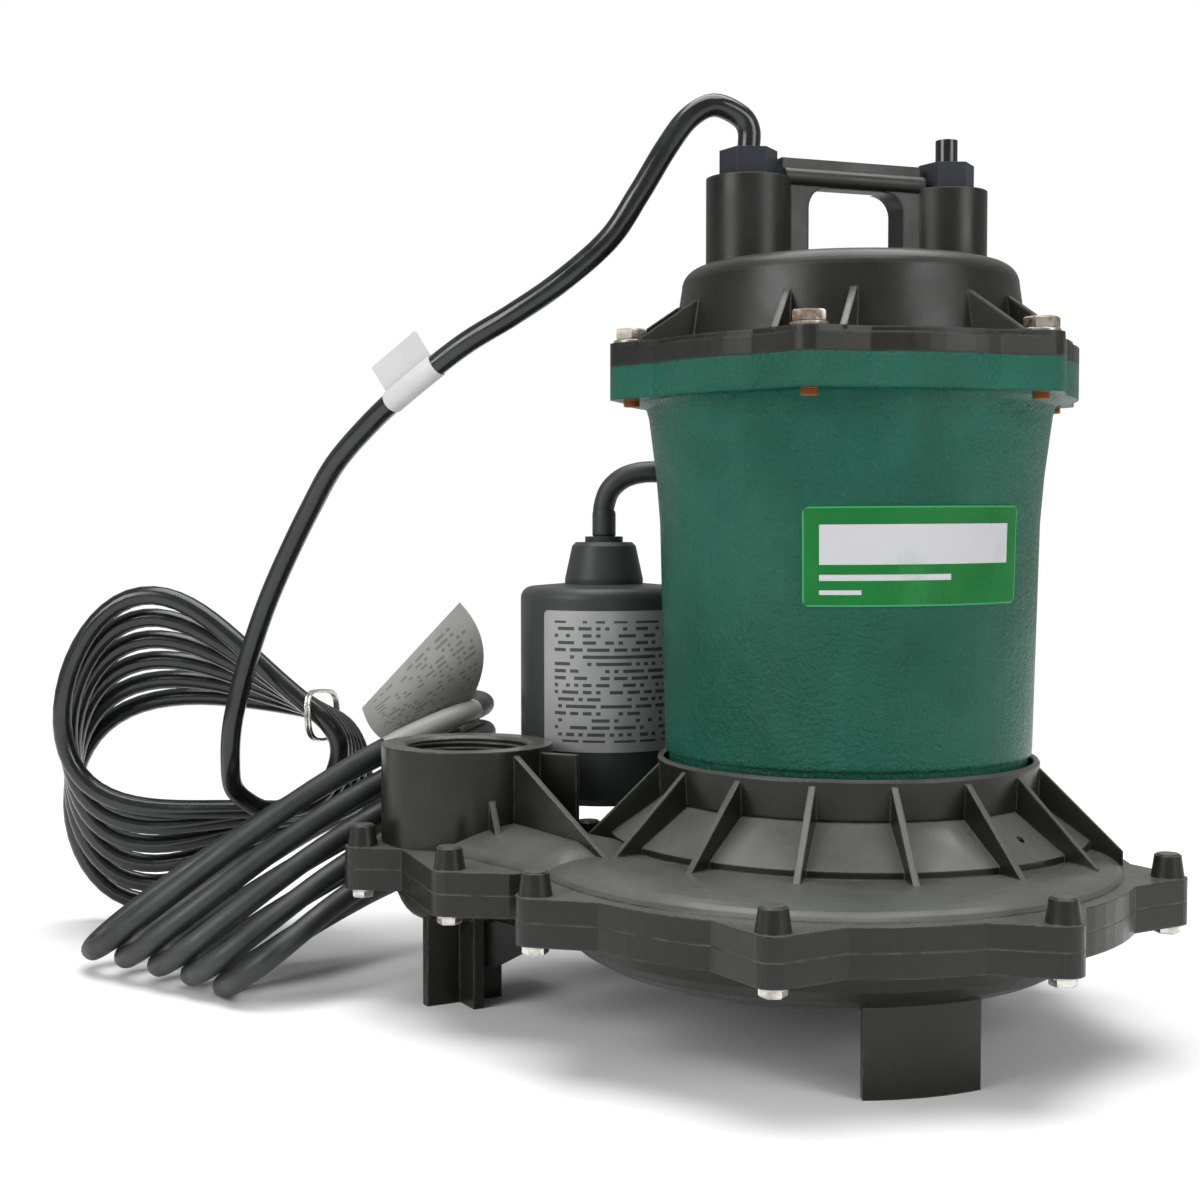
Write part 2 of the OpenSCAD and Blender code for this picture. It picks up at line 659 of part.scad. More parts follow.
module lower_bearing() color(steel) at_motor(z = bearing_z)
    ring(lower_bearing_r, shaft_r + fit, lower_bearing_w);
module upper_bearing() color(steel) at_motor(z = bracket_z + bracket_t - upper_bearing_w)
    ring(upper_bearing_r, journal_r + fit, upper_bearing_w);

hub_wall = 4;
module bearing_bracket() color([0.6, 0.6, 0.6]) at_motor() difference() {
    union() {
        translate([0, 0, bracket_z]) cylinder(r = recess_r - seat, h = bracket_t, $fn = round_fn);
        translate([0, 0, bracket_z + bracket_t - upper_bearing_w - 2])
            cylinder(r = upper_bearing_r + hub_wall, h = upper_bearing_w + 2, $fn = round_fn);
    }
    translate([0, 0, bracket_z + bracket_t - upper_bearing_w])
        cylinder(r = upper_bearing_r + fit, h = 30, $fn = round_fn);
    translate([0, 0, bracket_z - 30]) cylinder(r = journal_r + 3, h = 60, $fn = round_fn);
    for (a = [0:60:300]) rotate([0, 0, a]) translate([(upper_bearing_r + hub_wall + stator_bore_r) / 2, 0, bracket_z - 1])
        cylinder(r = 10, h = bracket_t + 2, $fn = 48);
}

module shaft_seal() color([0.3, 0.3, 0.32]) at_motor(z = deck_z - deck_t)
    ring(seal_r, shaft_r + fit, deck_t + floor_t + 2);

impeller_top_z = deck_z - deck_t - impeller_gap;
shaft_low_z = impeller_top_z - shroud_t - vane_h - 6;
module shaft() color(steel) at_motor() {
    translate([0, 0, shaft_low_z]) cylinder(r = journal_r, h = 40, $fn = round_fn);
    translate([0, 0, impeller_top_z - shroud_t]) cylinder(r = shaft_r,
        h = bracket_z + bracket_t - upper_bearing_w - 0.5 - impeller_top_z + shroud_t, $fn = round_fn);
    translate([0, 0, bracket_z - 20]) cylinder(r = journal_r, h = 20 + bracket_t + 3, $fn = round_fn);
}

module rotor_core() color([0.5, 0.5, 0.52]) at_motor(z = stack_z) {
    ring(rotor_r, shaft_r + fit, stack_h);
    for (end = [-4, stack_h]) translate([0, 0, end]) ring(rotor_r - 3, rotor_r - 14, 4);
}

hub_r = 13;
module vane(turn) rotate([0, 0, turn]) linear_extrude(vane_h + 1) difference() {
    translate([0, -impeller_r * 0.30]) circle(r = impeller_r * 0.62, $fn = 64);
    translate([0, -impeller_r * 0.30 - 0.8]) circle(r = impeller_r * 0.62 - 3, $fn = 64);
    translate([-2 * impeller_r, -2 * impeller_r]) square([2 * impeller_r, 4 * impeller_r]);
    translate([0, -3 * impeller_r]) square([2 * impeller_r, 3 * impeller_r - 2]);
}
module impeller() color([0.75, 0.6, 0.3]) at_motor(z = impeller_top_z - shroud_t) difference() {
    union() {
        cylinder(r = impeller_r, h = shroud_t, $fn = round_fn);
        translate([0, 0, -vane_h]) intersection() {
            for (i = [0:vane_count - 1]) vane(360 * i / vane_count);
            cylinder(r = impeller_r, h = vane_h + 1, $fn = round_fn);
        }
        translate([0, 0, -vane_h]) cylinder(r = hub_r, h = vane_h + 1, $fn = round_fn);
    }
    translate([0, 0, -vane_h - 1]) cylinder(r = journal_r + fit, h = vane_h + 2, $fn = round_fn);
    cylinder(r = shaft_r + fit, h = shroud_t + 1, $fn = round_fn);
}

module impeller_nut() color(steel) at_motor(z = impeller_top_z - shroud_t - vane_h - 5) difference() {
    cylinder(r = 10, h = 5, $fn = hex_fn);
    translate([0, 0, -1]) cylinder(r = journal_r + fit, h = 7, $fn = round_fn);
}

/* ---------- cover ---------- */
spigot_depth = 6;
tower_bore_r = gland_thread_r + 0.3;
module dome_profile(inset, low) polygon(concat(
    [[0, low], [dome_foot_r - inset, low], [dome_foot_r - inset, cap_z]],
    quarter(dome_top_r - dome_round, dome_z - dome_round, dome_round - inset, dome_round - inset),
    [[0, dome_z - inset]]));

module cover_gusset() rotate([90, 0, 0]) translate([0, 0, -gusset_t / 2]) linear_extrude(gusset_t)
    polygon([[dome_top_r - 2, cap_z - 1], [cover_bolt_r + 1.5, cap_z - 1], [cover_bolt_r + 1.5, cap_z],
        [dome_top_r + 0.8, cap_z + dome_h * 0.51], [dome_top_r - 2, cap_z + dome_h * 0.51]]);

post_w = 11.6;
opening_round = 8;
module finger_opening_2d() {
    translate([-grip_gap / 2, dome_z]) square([grip_gap, grip_clear - opening_round]);
    translate([-grip_gap / 2 + opening_round, dome_z])
        square([grip_gap - 2 * opening_round, grip_clear]);
    for (side = [-1, 1])
        translate([side * (grip_gap / 2 - opening_round), dome_z + grip_clear - opening_round])
            circle(r = opening_round, $fn = 64);
}

module grip_2d() {
    for (side = [-1, 1]) translate([side * (grip_w - grip_h) / 2, 0]) circle(d = grip_h, $fn = 48);
    square([grip_w - grip_h, grip_h], center = true);
    translate([-web_t / 2, 0]) square([web_t, grip_h / 2 + web_h]);
}

grip_reach = tower_reach - 12.5;
module handle() rotate([0, 0, tower_turn]) {
    rotate([90, 0, 0]) translate([0, 0, -post_w / 2]) linear_extrude(post_w) difference() {
        translate([-tower_reach, dome_z - 2])
            square([2 * tower_reach, grip_clear + 2]);
        finger_opening_2d();
    }
    translate([-grip_reach, 0, dome_z + grip_clear + grip_h / 2])
        rotate([90, 0, 90]) linear_extrude(2 * grip_reach) grip_2d();
}

module top_cover() color(moulded) difference() {
    union() {
        at_motor(z = cover_z) linear_extrude(cover_flange_t - 2)
            lobed_2d(lobe_base_r, lobe_base_r - 0.5);
        at_motor(z = cap_z - 2.5) linear_extrude(2.5)
            lobed_2d(lobe_base_r - 2.2, lobe_base_r - 2.7);
        at_motor() rotate_extrude($fn = round_fn) dome_profile(0, cap_z - 1);
        at_motor(z = cover_z - spigot_depth) cylinder(r = recess_r - seat, h = spigot_depth + 1, $fn = round_fn);
        towers(dome_z - 14) cylinder(r = tower_r, h = tower_h + 14, $fn = round_fn);
        for (b = cover_bolts_at) for (side = [-1, 1]) at_motor() rotate([0, 0, atan2(b[1], b[0])])
            translate([0, side * gusset_side, 0]) cover_gusset();
        at_motor() handle();
    }
    at_motor() rotate_extrude($fn = round_fn) dome_profile(dome_wall, cover_z - spigot_depth - 1);
    towers(dome_z - 30) cylinder(r = tower_bore_r, h = tower_h + 40, $fn = round_fn);
    at_motor() for (b = cover_bolts_at) translate([b[0], b[1], cover_z - 1])
        cylinder(r = bolt_r + 0.35, h = cover_flange_t + 2, $fn = 32);
    // groove of the cover's seal
    at_motor(z = cover_z - 4) difference() {
        cylinder(r = recess_r + 2, h = 2.4, $fn = round_fn);
        translate([0, 0, -1]) cylinder(r = recess_r - 2.2, h = 5, $fn = round_fn);
    }
}

module cover_seal() color(rubber) at_motor(z = cover_z - 2.8) rotate_extrude($fn = round_fn)
    translate([recess_r - 1.15, 0]) circle(r = 1, $fn = 16);

module cover_bolts() color(steel) at_motor() for (b = cover_bolts_at) translate([b[0], b[1], 0]) {
    translate([0, 0, flange_under_z - bolt_tip])
        cylinder(r = bolt_r, h = housing_flange_t + cover_flange_t + bolt_tip, $fn = 32);
    translate([0, 0, cap_z]) {
        cylinder(r = 6.6, h = 1.2, $fn = 48);
        cylinder(r = bolt_af / 2 / cos(30), h = 5.4, $fn = hex_fn);
    }
}

module gland_shape(bore_r, turn) difference() {
    union() {
        translate([0, 0, tower_z]) rotate([0, 0, turn]) cylinder(r = gland_af / 2 / cos(30), h = gland_h, $fn = hex_fn);
        translate([0, 0, tower_z - gland_thread_h]) cylinder(r = gland_thread_r, h = gland_thread_h + 1, $fn = round_fn);
    }
    translate([0, 0, tower_z - 40]) cylinder(r = bore_r, h = 80, $fn = round_fn);
}

tower_vector = tower_reach * [cos(tower_turn), sin(tower_turn), 0];
gland_at = motor_at - tower_vector;
blank_at = motor_at + tower_vector;
module cord_gland() color([0.16, 0.17, 0.19]) translate(gland_at)
    gland_shape(cord_d / 2 + 0.2, 10);
module plug_gland() color([0.16, 0.17, 0.19]) translate(blank_at)
    gland_shape(cord_d / 2 + 0.2, 10);
module blank_plug() color(rubber) translate(blank_at + [0, 0, tower_z - gland_thread_h + 2])
    cylinder(d = cord_d, h = gland_thread_h - 2 + gland_h + blank_h, $fn = 48);

// Rubber bushings that the glands press on inside the towers
bushing_h = 8;
module cord_bushings() color(rubber) towers(tower_z - gland_thread_h - bushing_h - 0.1)
    ring(tower_bore_r - 0.1, cord_d / 2 + 0.2, bushing_h);

module capacitor() color([0.75, 0.75, 0.78]) at_motor(z = bracket_z + bracket_t + capacitor_r + 0.3)
    rotate([0, 0, tower_turn + 90]) translate([-capacitor_h / 2, 26, 0]) rotate([0, 90, 0])
        cylinder(r = capacitor_r, h = capacitor_h, $fn = round_fn);

/* ---------- float switch ---------- */
float_at = [-float_left, float_back];
float_top_z = float_low + float_h;
float_round = 5;
collar_top_z = float_top_z + neck_h + 2.4;
tether_h = 3;      // cord between the collar and the point where it bends
tether_r = float_cord_d / 2 - 0.1;
hinge_z = collar_top_z + tether_h;
module float_body() color([0.24, 0.25, 0.24]) at_motor(float_at[0], float_at[1]) rotate_extrude($fn = round_fn)
    polygon(concat([[0, float_low], [float_r - 3, float_low], [float_r, float_low + 3]],
        quarter(float_r - float_round, float_top_z - float_round - 1, float_round, float_round),
        [[neck_r + 2, float_top_z], [0, float_top_z]]));
module float_neck() color([0.2, 0.21, 0.2]) at_motor(float_at[0], float_at[1], float_top_z)
    rotate_extrude($fn = round_fn) polygon([[0, 0], [neck_r, 0], [neck_r, 2],
        [neck_r - 3, neck_h - 1.6], [neck_r - 4.6, neck_h], [8, neck_h], [8, neck_h + 2.4],
        [0, neck_h + 2.4]]);
// The stub of cord that bends above the float: its round end turns in place
module float_tether() color(rubber) at_motor(float_at[0], float_at[1]) rotate_extrude($fn = 48)
    polygon(concat([[0, collar_top_z], [tether_r, collar_top_z]],
        quarter(0, hinge_z, tether_r, tether_r)));
float_label_z = float_low + 22.4;
float_label_h = 57.5;
module float_label() color([0.7, 0.7, 0.7]) at_motor(float_at[0], float_at[1], float_label_z)
    rotate([0, 0, -126]) rotate_extrude(angle = 130, $fn = round_fn)
        translate([float_r + 0.05, 0]) square([0.4, float_label_h]);

/* ---------- cords ---------- */
function unit(v) = v / norm(v);

// Ring directions carried along a line of points without twist
function tangents(line) = let (last = len(line) - 1) [for (i = [0:last])
    unit(line[min(i + 1, last)] - line[max(i - 1, 0)])];
function carried(n, t) = unit(n - (n * t) * t);
function normals(ts) = [for (i = 0, n = carried([0.31, 0.11, 0.95], ts[0]); i < len(ts);
    i = i + 1, n = i < len(ts) ? carried(n, ts[i]) : n) n];

// One closed tube along a line of points
module tube(line, r, sides) {
    ts = tangents(line);
    ns = normals(ts);
    last = len(line) - 1;
    points = [for (i = [0:last]) for (k = [0:sides - 1]) let (a = 360 * k / sides)
        line[i] + r * (cos(a) * ns[i] + sin(a) * cross(ts[i], ns[i]))];
    walls = [for (i = [0:last - 1]) for (k = [0:sides - 1]) let (
        a = i * sides + k, b = i * sides + (k + 1) % sides)
        each [[a, a + sides, b], [b, a + sides, b + sides]]];
    caps = [for (k = [1:sides - 2])
        each [[0, k, k + 1], [last * sides, last * sides + k + 1, last * sides + k]]];
    polyhedron(points = points, faces = concat(walls, caps));
}

// A sleeve round a cord, along part of its line
module sleeve(line, r_in, r_out, sides) {
    ts = tangents(line);
    ns = normals(ts);
    n = len(line);
    points = [for (r = [r_in, r_out]) for (i = [0:n - 1]) for (k = [0:sides - 1])
        let (a = 360 * k / sides)
        line[i] + r * (cos(a) * ns[i] + sin(a) * cross(ts[i], ns[i]))];
    out = n * sides;
    last = (n - 1) * sides;
    walls = [for (i = [0:n - 2]) for (k = [0:sides - 1]) let (
        a = i * sides + k, b = i * sides + (k + 1) % sides)
        each [[out + a, out + a + sides, out + b], [out + b, out + a + sides, out + b + sides],
            [a, b, a + sides], [b, b + sides, a + sides]]];
    rims = [for (k = [0:sides - 1]) let (j = (k + 1) % sides)
        each [[k, out + k, j], [j, out + k, out + j],
            [last + k, last + j, out + last + k], [last + j, out + last + j, out + last + k]]];
    polyhedron(points = points, faces = concat(walls, rims));
}

// Loops of a cord as one unbroken line. A loop's spine runs from its far tip
// through a middle to its near end, and all three move on with each turn.
loop_rings = 24;
function loop_point(l, m) = let (
    turn = l[0] + l[1] * 360 * m,
    s = cos(turn),
    tip = l[2] + m * l[3],
    near = l[4] + m * l[5],
    middle = l[6] + m * l[7],
    w = l[8],
    spine = middle + (tip - near) / 2 * s + ((tip + near) / 2 - middle) * s * s,
    half = w[1] + (w[0] - w[2]) / 2 * s + ((w[0] + w[2]) / 2 - w[1]) * s * s)
    spine + unit(cross(l[9], tip - near)) * half * sin(turn);
function loop_line(l, turns, rings = loop_rings) =
    [for (i = [0:turns * rings]) loop_point(l, i / rings)];
function loop_way(l, m) = unit(loop_point(l, m + 1 / loop_rings) - loop_point(l, m));

// Least gap between strands of a coil, measured on its points
function least_gap(line, d, apart) = min([for (i = [0:len(line) - 1 - apart])
    min([for (j = [i + apart:len(line) - 1]) norm(line[i] - line[j])])]) - d;

// Start angle, direction, then far tip, near end and middle with their steps
// per turn, the half widths there, and the direction in which turns stack
coil_turns = 6;
coil_loops = [228, -1, [-303, 86, 133], [-4, 9.6, -16], [-186, 94, 78], [0, 9.6, -0.5],
    [-232, 90, 97], [0, 9.6, -4.6], [82, 34, 34], [0, 1, 0]];
hank_turns = 5;
hank_loops = [200, 1, [-192, -4, 8.5], [-19, 11, 0.2], [-124, 117, 46], [-0.5, 2, 12.5],
    [-162.5, 51, 30], [-4, 3.6, 11], [44, 17, 48], [-0.62, -0.25, 0.74]];

coil_start = loop_point(coil_loops, 0);
coil_end = loop_point(coil_loops, coil_turns);
hank_start = loop_point(hank_loops, 0);
hank_end = loop_point(hank_loops, hank_turns);
coil_in = loop_way(coil_loops, 0);
coil_out = loop_way(coil_loops, coil_turns - 1 / loop_rings);
hank_in = loop_way(hank_loops, 0);
hank_out = loop_way(hank_loops, hank_turns - 1 / loop_rings);
float_exit = [motor_at[0] + float_at[0], motor_at[1] + float_at[1], hinge_z + float_cord_d / 2 + 0.2];
plug_z = 13;
float_plug_z = 15.5;

power_route = concat([[gland_at[0], gland_at[1], gland_z], [gland_at[0], gland_at[1], gland_z + 8]], [
    [-4, 0.5, 338], [-13, -3, 341], [-22, -5, 336], [-30, -7, 325], [-40, -9, 308],
    [-51, -9, 292], [-69, -10, 276.5], [-87, -9, 265], [-106.6, -5, 254.4], [-129.3, 2, 239],
    [-146.5, 14, 227.5], [-165.3, 28, 211.6], [-179.3, 40, 193.9], [-192, 50, 175],
    [-202.7, 57, 156.2], [-211.3, 62, 137.1], [-218, 65, 118], [-222, 66, 102], [-224, 69, 87], [-225, 76, 74],
    [-220, 85, 65.5]], [coil_start - 7 * coil_in, coil_start]);
power_end_route = concat([coil_end, coil_end + 8 * coil_out], [
    [-168, 148, 62], [-154, 149, 52], [-138, 149, 39], [-118, 148, 28], [-96, 147, 18],
    [-74, 146, plug_z], [-56, 146, plug_z], [-48, 146, plug_z]]);
float_route = concat([float_exit, float_exit + [0, 0, 5]], [
    [-62.5, 87, 202.5], [-55, 87, 208], [-43, 88, 209.5], [-30, 93, 206], [-17, 102, 195],
    [-8, 112, 177], [-4, 121, 150], [-4, 128, 120], [-6, 131, 92], [-14, 133, 68],
    [-28, 134, 50], [-47, 134, 38], [-69, 133, 34], [-92, 130, 38], [-110, 126, 43]],
    [hank_start - 9 * hank_in, hank_start]);
float_end_route = concat([hank_end, hank_end + 9 * hank_out], [
    [-155, 151, 98], [-159, 161, 82], [-155, 168, 62], [-144, 171, 40], [-126, 173, 21],
    [-102, 175, 9], [-74, 176, 5], [-42, 176, 5], [-16, 175, 9], [2, 174, float_plug_z],
    [12, 174, float_plug_z]]);

module power_cord() color(rubber) tube(power_route, cord_d / 2, 8);
module power_coil() color(rubber) {
    line = loop_line(coil_loops, coil_turns);
    echo(least_gap_of_power_coil = least_gap(line, cord_d, 9));
    tube(line, cord_d / 2, 6);
}
module power_cord_end() color(rubber) tube(power_end_route, cord_d / 2, 8);
module float_cord() color(rubber) tube(float_route, float_cord_d / 2, 8);
module float_hank() color(rubber) {
    line = loop_line(hank_loops, hank_turns);
    echo(least_gap_of_float_hank = least_gap(line, float_cord_d, 7));
    tube(line, float_cord_d / 2, 6);
}
module float_cord_end() color(rubber) tube(float_end_route, float_cord_d / 2, 8);

// Moulded plug along +X: strain relief, body, two blades and an earth pin
module plug(at, cord_r, body_r) translate(at) rotate([0, 90, 0]) {
    rotate_extrude($fn = 64) polygon([[0, 0], [cord_r + 1.4, 0], [cord_r + 2.4, 20],
        [body_r - 5, 24], [body_r - 1.5, 32], [body_r, 36], [body_r, 47], [body_r - 1, 48], [0, 48]]);
    for (ring = [3:4:15]) translate([0, 0, ring]) cylinder(r = cord_r + 2.8, h = 2, $fn = 48);
    for (side = [-1, 1]) translate([-4 - 3.2, side * 6.35 - 0.8, 47]) cube([6.4, 1.6, 17]);
    translate([8, 0, 47]) cylinder(d = 4.8, h = 19, $fn = 32);
}
module power_plug() color(rubber)
    plug(power_end_route[len(power_end_route) - 1], cord_d / 2, plug_z);
module float_plug() color(rubber)
    plug(float_end_route[len(float_end_route) - 1], float_cord_d / 2, float_plug_z);

// Wire tie round the upper runs of the power cord's coil
tie_m = 0.28;
tie_half = 11;
tie_wire = 1.2;
tie_w = 3;
module cord_tie() color(steel) {
    first = loop_point(coil_loops, tie_m);
    last = loop_point(coil_loops, tie_m + coil_turns - 1);
    row = last - first;
    along = loop_way(coil_loops, tie_m + (coil_turns - 1) / 2);
    tilt = acos(along[2]);
    way = atan2(along[1], along[0]);
    side_x = [cos(tilt) * cos(way), cos(tilt) * sin(way), -sin(tilt)];
    side_y = [-sin(way), cos(way), 0];
    inside = [2 * tie_half, norm(row) + cord_d + 5, tie_w + 2];
    outside = [inside[0] + 2 * tie_wire, inside[1] + 2 * tie_wire, tie_w];
    translate((first + last) / 2) rotate([0, tilt, way])
        rotate([0, 0, atan2(-row * side_x, row * side_y)]) difference() {
            cube(outside, center = true);
            cube(inside, center = true);
        }
}

// Blank band of a label, wrapped round the free power cord
band_from = 11;
module cord_band() color([0.9, 0.9, 0.88])
    sleeve([for (i = [band_from:band_from + 2]) power_route[i]], cord_d / 2 + 0.9, cord_d / 2 + 1.3, 8);

top_cover();
cover_seal();
cover_bolts();
cord_gland();
plug_gland();
blank_plug();
cord_bushings();
motor_housing();
housing_label();
stator();
stator_windings();
capacitor();
upper_bearing();
bearing_bracket();
lower_bearing();
shaft_seal();
shaft();
rotor_core();
impeller();
impeller_nut();
volute_top();
foot_seal();
housing_screws();
volute_seal();
volute_bottom();
volute_screws();
float_body();
float_neck();
float_tether();
float_label();
power_cord();
power_coil();
power_cord_end();
power_plug();
float_cord();
float_hank();
float_cord_end();
float_plug();
cord_tie();
cord_band();
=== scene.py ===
"""Dresses a submersible sump pump with its tethered float switch and cords.

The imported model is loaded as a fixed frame. This script adds the cords, labels,
fasteners and threads as their own pieces, gives every surface a procedural
finish, and sets up a plain studio. Pieces have their sizes and places in
millimetres, as on a drawing, and MM turns them into the frame's metres. The
finishes, the lamps and the camera are in metres.
"""

import logging
import math
from collections.abc import Iterable, Sequence
from dataclasses import dataclass, field, replace
from enum import Enum
from typing import ClassVar

import bpy
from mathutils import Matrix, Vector

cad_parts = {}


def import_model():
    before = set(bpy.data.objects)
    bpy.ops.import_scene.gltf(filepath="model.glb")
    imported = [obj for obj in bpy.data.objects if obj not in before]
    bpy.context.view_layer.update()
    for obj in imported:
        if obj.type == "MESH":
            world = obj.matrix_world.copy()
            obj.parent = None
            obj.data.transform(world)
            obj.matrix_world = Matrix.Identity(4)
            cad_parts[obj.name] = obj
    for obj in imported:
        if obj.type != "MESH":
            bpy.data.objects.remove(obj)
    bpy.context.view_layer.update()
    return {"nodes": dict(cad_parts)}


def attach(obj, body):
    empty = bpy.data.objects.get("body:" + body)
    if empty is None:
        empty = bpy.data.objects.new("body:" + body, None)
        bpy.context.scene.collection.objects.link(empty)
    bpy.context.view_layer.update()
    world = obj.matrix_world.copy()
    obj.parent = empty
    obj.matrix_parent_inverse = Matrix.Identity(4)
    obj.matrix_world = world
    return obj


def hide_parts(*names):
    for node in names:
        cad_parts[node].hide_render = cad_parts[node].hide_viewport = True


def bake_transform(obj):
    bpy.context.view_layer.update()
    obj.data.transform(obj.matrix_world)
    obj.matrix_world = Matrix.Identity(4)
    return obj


Rgb = tuple[float, float, float]
Point = tuple[float, float, float]
Flat = tuple[float, float]
Face = tuple[int, ...]
Socket = bpy.types.NodeSocket

LOG = logging.getLogger("sump_pump")
LABEL_MAP = "label_flat"
MM = 0.001
FULL_TURN = 2 * math.pi
UP = Vector((0.0, 0.0, 1.0))
RIGHT = Vector((1.0, 0.0, 0.0))
# Radius of the small flat that closes the end of a turned form.
TIP = 0.2

MOTOR_AXIS: Flat = (36.575, 21.385)
FLOAT_AXIS: Flat = (-65.4, 86.9)
SOCKET_AXIS: Flat = (-112.7, 30.4)


class Body(str, Enum):
    """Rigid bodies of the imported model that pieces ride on."""

    PUMP = "pump"
    FLOAT = "float"


class Slot(str, Enum):
    """Material slots of the record, named for the new pieces."""

    VOLUTE = "volute_plastic"
    CORD = "cord_rubber"
    FLOAT_CORD = "float_cord_rubber"
    STICKER = "label_green"
    FOIL = "label_silver"
    PAPER = "label_white"
    BOLT = "bolt_steel"
    ZINC = "zinc_screws"
    WIRE = "tie_wire"


# ---------------------------------------------------------------- materials
@dataclass(frozen=True)
class Noise:
    """Fractal noise, and the values that it is mapped to.

    Attributes:
        scale: Features per metre.
        detail: Octaves of finer noise.
        rough: Weight of the finer octaves.
        stretch: Factors along X, Y and Z, where it isn't even.
        start: Level of the noise that gives low.
        full: Level of the noise that gives high.
        low: Value at start.
        high: Value at full.
    """

    scale: float
    detail: float = 3.0
    rough: float = 0.5
    stretch: Point | None = None
    start: float = 0.3
    full: float = 0.7
    low: float = 0.0
    high: float = 1.0


@dataclass(frozen=True)
class Relief:
    """Bump of a surface: its depth in metres and how much of it shows."""

    depth: float
    strength: float = 1.0


class NodeSheet:
    """Small builder for one material's node tree."""

    MIX_FACTOR = 0
    MIX_A = 6
    MIX_B = 7
    MIX_RESULT = 2
    BEVEL_SAMPLES = 4
    FLAT_DOT = 0.995
    EDGE_DOT = 0.8

    def __init__(self, name: str) -> None:
        """Starts an empty tree with an output and a Principled shader.

        Args:
            name: Name of the new material.
        """
        self.material = bpy.data.materials.new(name)
        self.material.use_nodes = True
        self.tree = self.material.node_tree
        self.tree.nodes.clear()
        self.output = self.add("ShaderNodeOutputMaterial")
        self.shader = self.add("ShaderNodeBsdfPrincipled")
        self.link(self.shader.outputs["BSDF"], self.output.inputs["Surface"])
        self.place = self.add("ShaderNodeTexCoord").outputs["Object"]

    def add(self, kind: str, **inputs: object) -> bpy.types.Node:
        """Adds a node of one kind.

        Args:
            kind: Blender's name of the node type.
            **inputs: Plain values of its inputs, by name.

        Returns:
            The new node.
        """
        node = self.tree.nodes.new(kind)
        for name, value in inputs.items():
            node.inputs[name.replace("_", " ")].default_value = value
        return node

    def link(self, source: Socket, target: Socket) -> None:
        """Joins an output to an input.

        Args:
            source: Output socket.
            target: Input socket.
        """
        self.tree.links.new(source, target)

    def feed(self, target: Socket, value: object) -> None:
        """Links a socket or sets a plain value.

        Args:
            target: Input socket.
            value: Another node's output, a number or a colour.
        """
        if isinstance(value, Socket):
            self.link(value, target)
        elif isinstance(value, tuple) and target.type == "RGBA":
            target.default_value = (*value[:3], 1.0)
        else:
            target.default_value = value

    def noise(self, kind: Noise) -> Socket:
        """Fractal noise over the surface.

        Args:
            kind: The noise.

        Returns:
            The noise value.
        """
        place = self.place
        if kind.stretch is not None:
            mapping = self.add("ShaderNodeMapping", Scale=kind.stretch)
            self.link(self.place, mapping.inputs["Vector"])
            place = mapping.outputs["Vector"]
        node = self.add("ShaderNodeTexNoise", Scale=kind.scale, Detail=kind.detail,
                        Roughness=kind.rough)
        self.link(place, node.inputs["Vector"])
        return node.outputs["Fac"]

    def cells(self, scale: float) -> Socket:
        """Distance to the nearest of scattered points, for pits and grains.

        Args:
            scale: Cells per metre.

        Returns:
            The distance value.
        """
        node = self.add("ShaderNodeTexVoronoi", Scale=scale)
        self.link(self.place, node.inputs["Vector"])
        return node.outputs["Distance"]

    def span(self, value: Socket, low: float, high: float, to_low: float = 0.0,
             to_high: float = 1.0) -> Socket:
        """Maps a range to another and clamps it.

        Args:
            value: Value to map.
            low: Value that gives to_low.
            high: Value that gives to_high.
            to_low: Result at low.
            to_high: Result at high.

        Returns:
            The mapped value.
        """
        node = self.add("ShaderNodeMapRange", From_Min=low, From_Max=high, To_Min=to_low,
                        To_Max=to_high)
        self.link(value, node.inputs["Value"])
        return node.outputs["Result"]

    def spread(self, kind: Noise, share: float = 1.0, base: float = 0.0) -> Socket:
        """Value that drifts over the surface between a noise's low and high.

        Args:
            kind: The noise.
            share: Factor of its low and high.
            base: Value that both are added to.

        Returns:
            The value.
        """
        return self.span(self.noise(kind), kind.start, kind.full, base + share * kind.low,
                         base + share * kind.high)

    def math(self, operation: str, a: object, b: object = 0.0) -> Socket:
        """One step of arithmetic.

        Args:
            operation: Blender's name of the operation.
            a: First value or socket.
            b: Second value or socket.

        Returns:
            The result.
        """
        node = self.add("ShaderNodeMath")
        node.operation = operation
        self.feed(node.inputs[0], a)
        self.feed(node.inputs[1], b)
        return node.outputs["Value"]

    def times(self, a: object, b: object) -> Socket:
        """Product of two values.

        Args:
            a: First value or socket.
            b: Second value or socket.

        Returns:
            The product.
        """
        return self.math("MULTIPLY", a, b)

    def mix(self, factor: object, a: object, b: object) -> Socket:
        """Mixes two colours.

        Args:
            factor: Share of b.
            a: Colour at factor 0.
            b: Colour at factor 1.

        Returns:
            The mixed colour.
        """
        node = self.add("ShaderNodeMix")
        node.data_type = "RGBA"
        self.feed(node.inputs[self.MIX_FACTOR], factor)
        self.feed(node.inputs[self.MIX_A], a)
        self.feed(node.inputs[self.MIX_B], b)
        return node.outputs[self.MIX_RESULT]

    def bump(self, height: Socket, relief: Relief, before: Socket | None = None) -> Socket:
        """Adds relief to the surface's normal.

        Args:
            height: Height value, from 0 to 1.
            relief: Depth and strength of the relief.
            before: Normal to add to.

        Returns:
            The new normal.
        """
        node = self.add("ShaderNodeBump", Distance=relief.depth, Strength=relief.strength)
        self.link(height, node.inputs["Height"])
        if before is not None:
            self.link(before, node.inputs["Normal"])
        return node.outputs["Normal"]

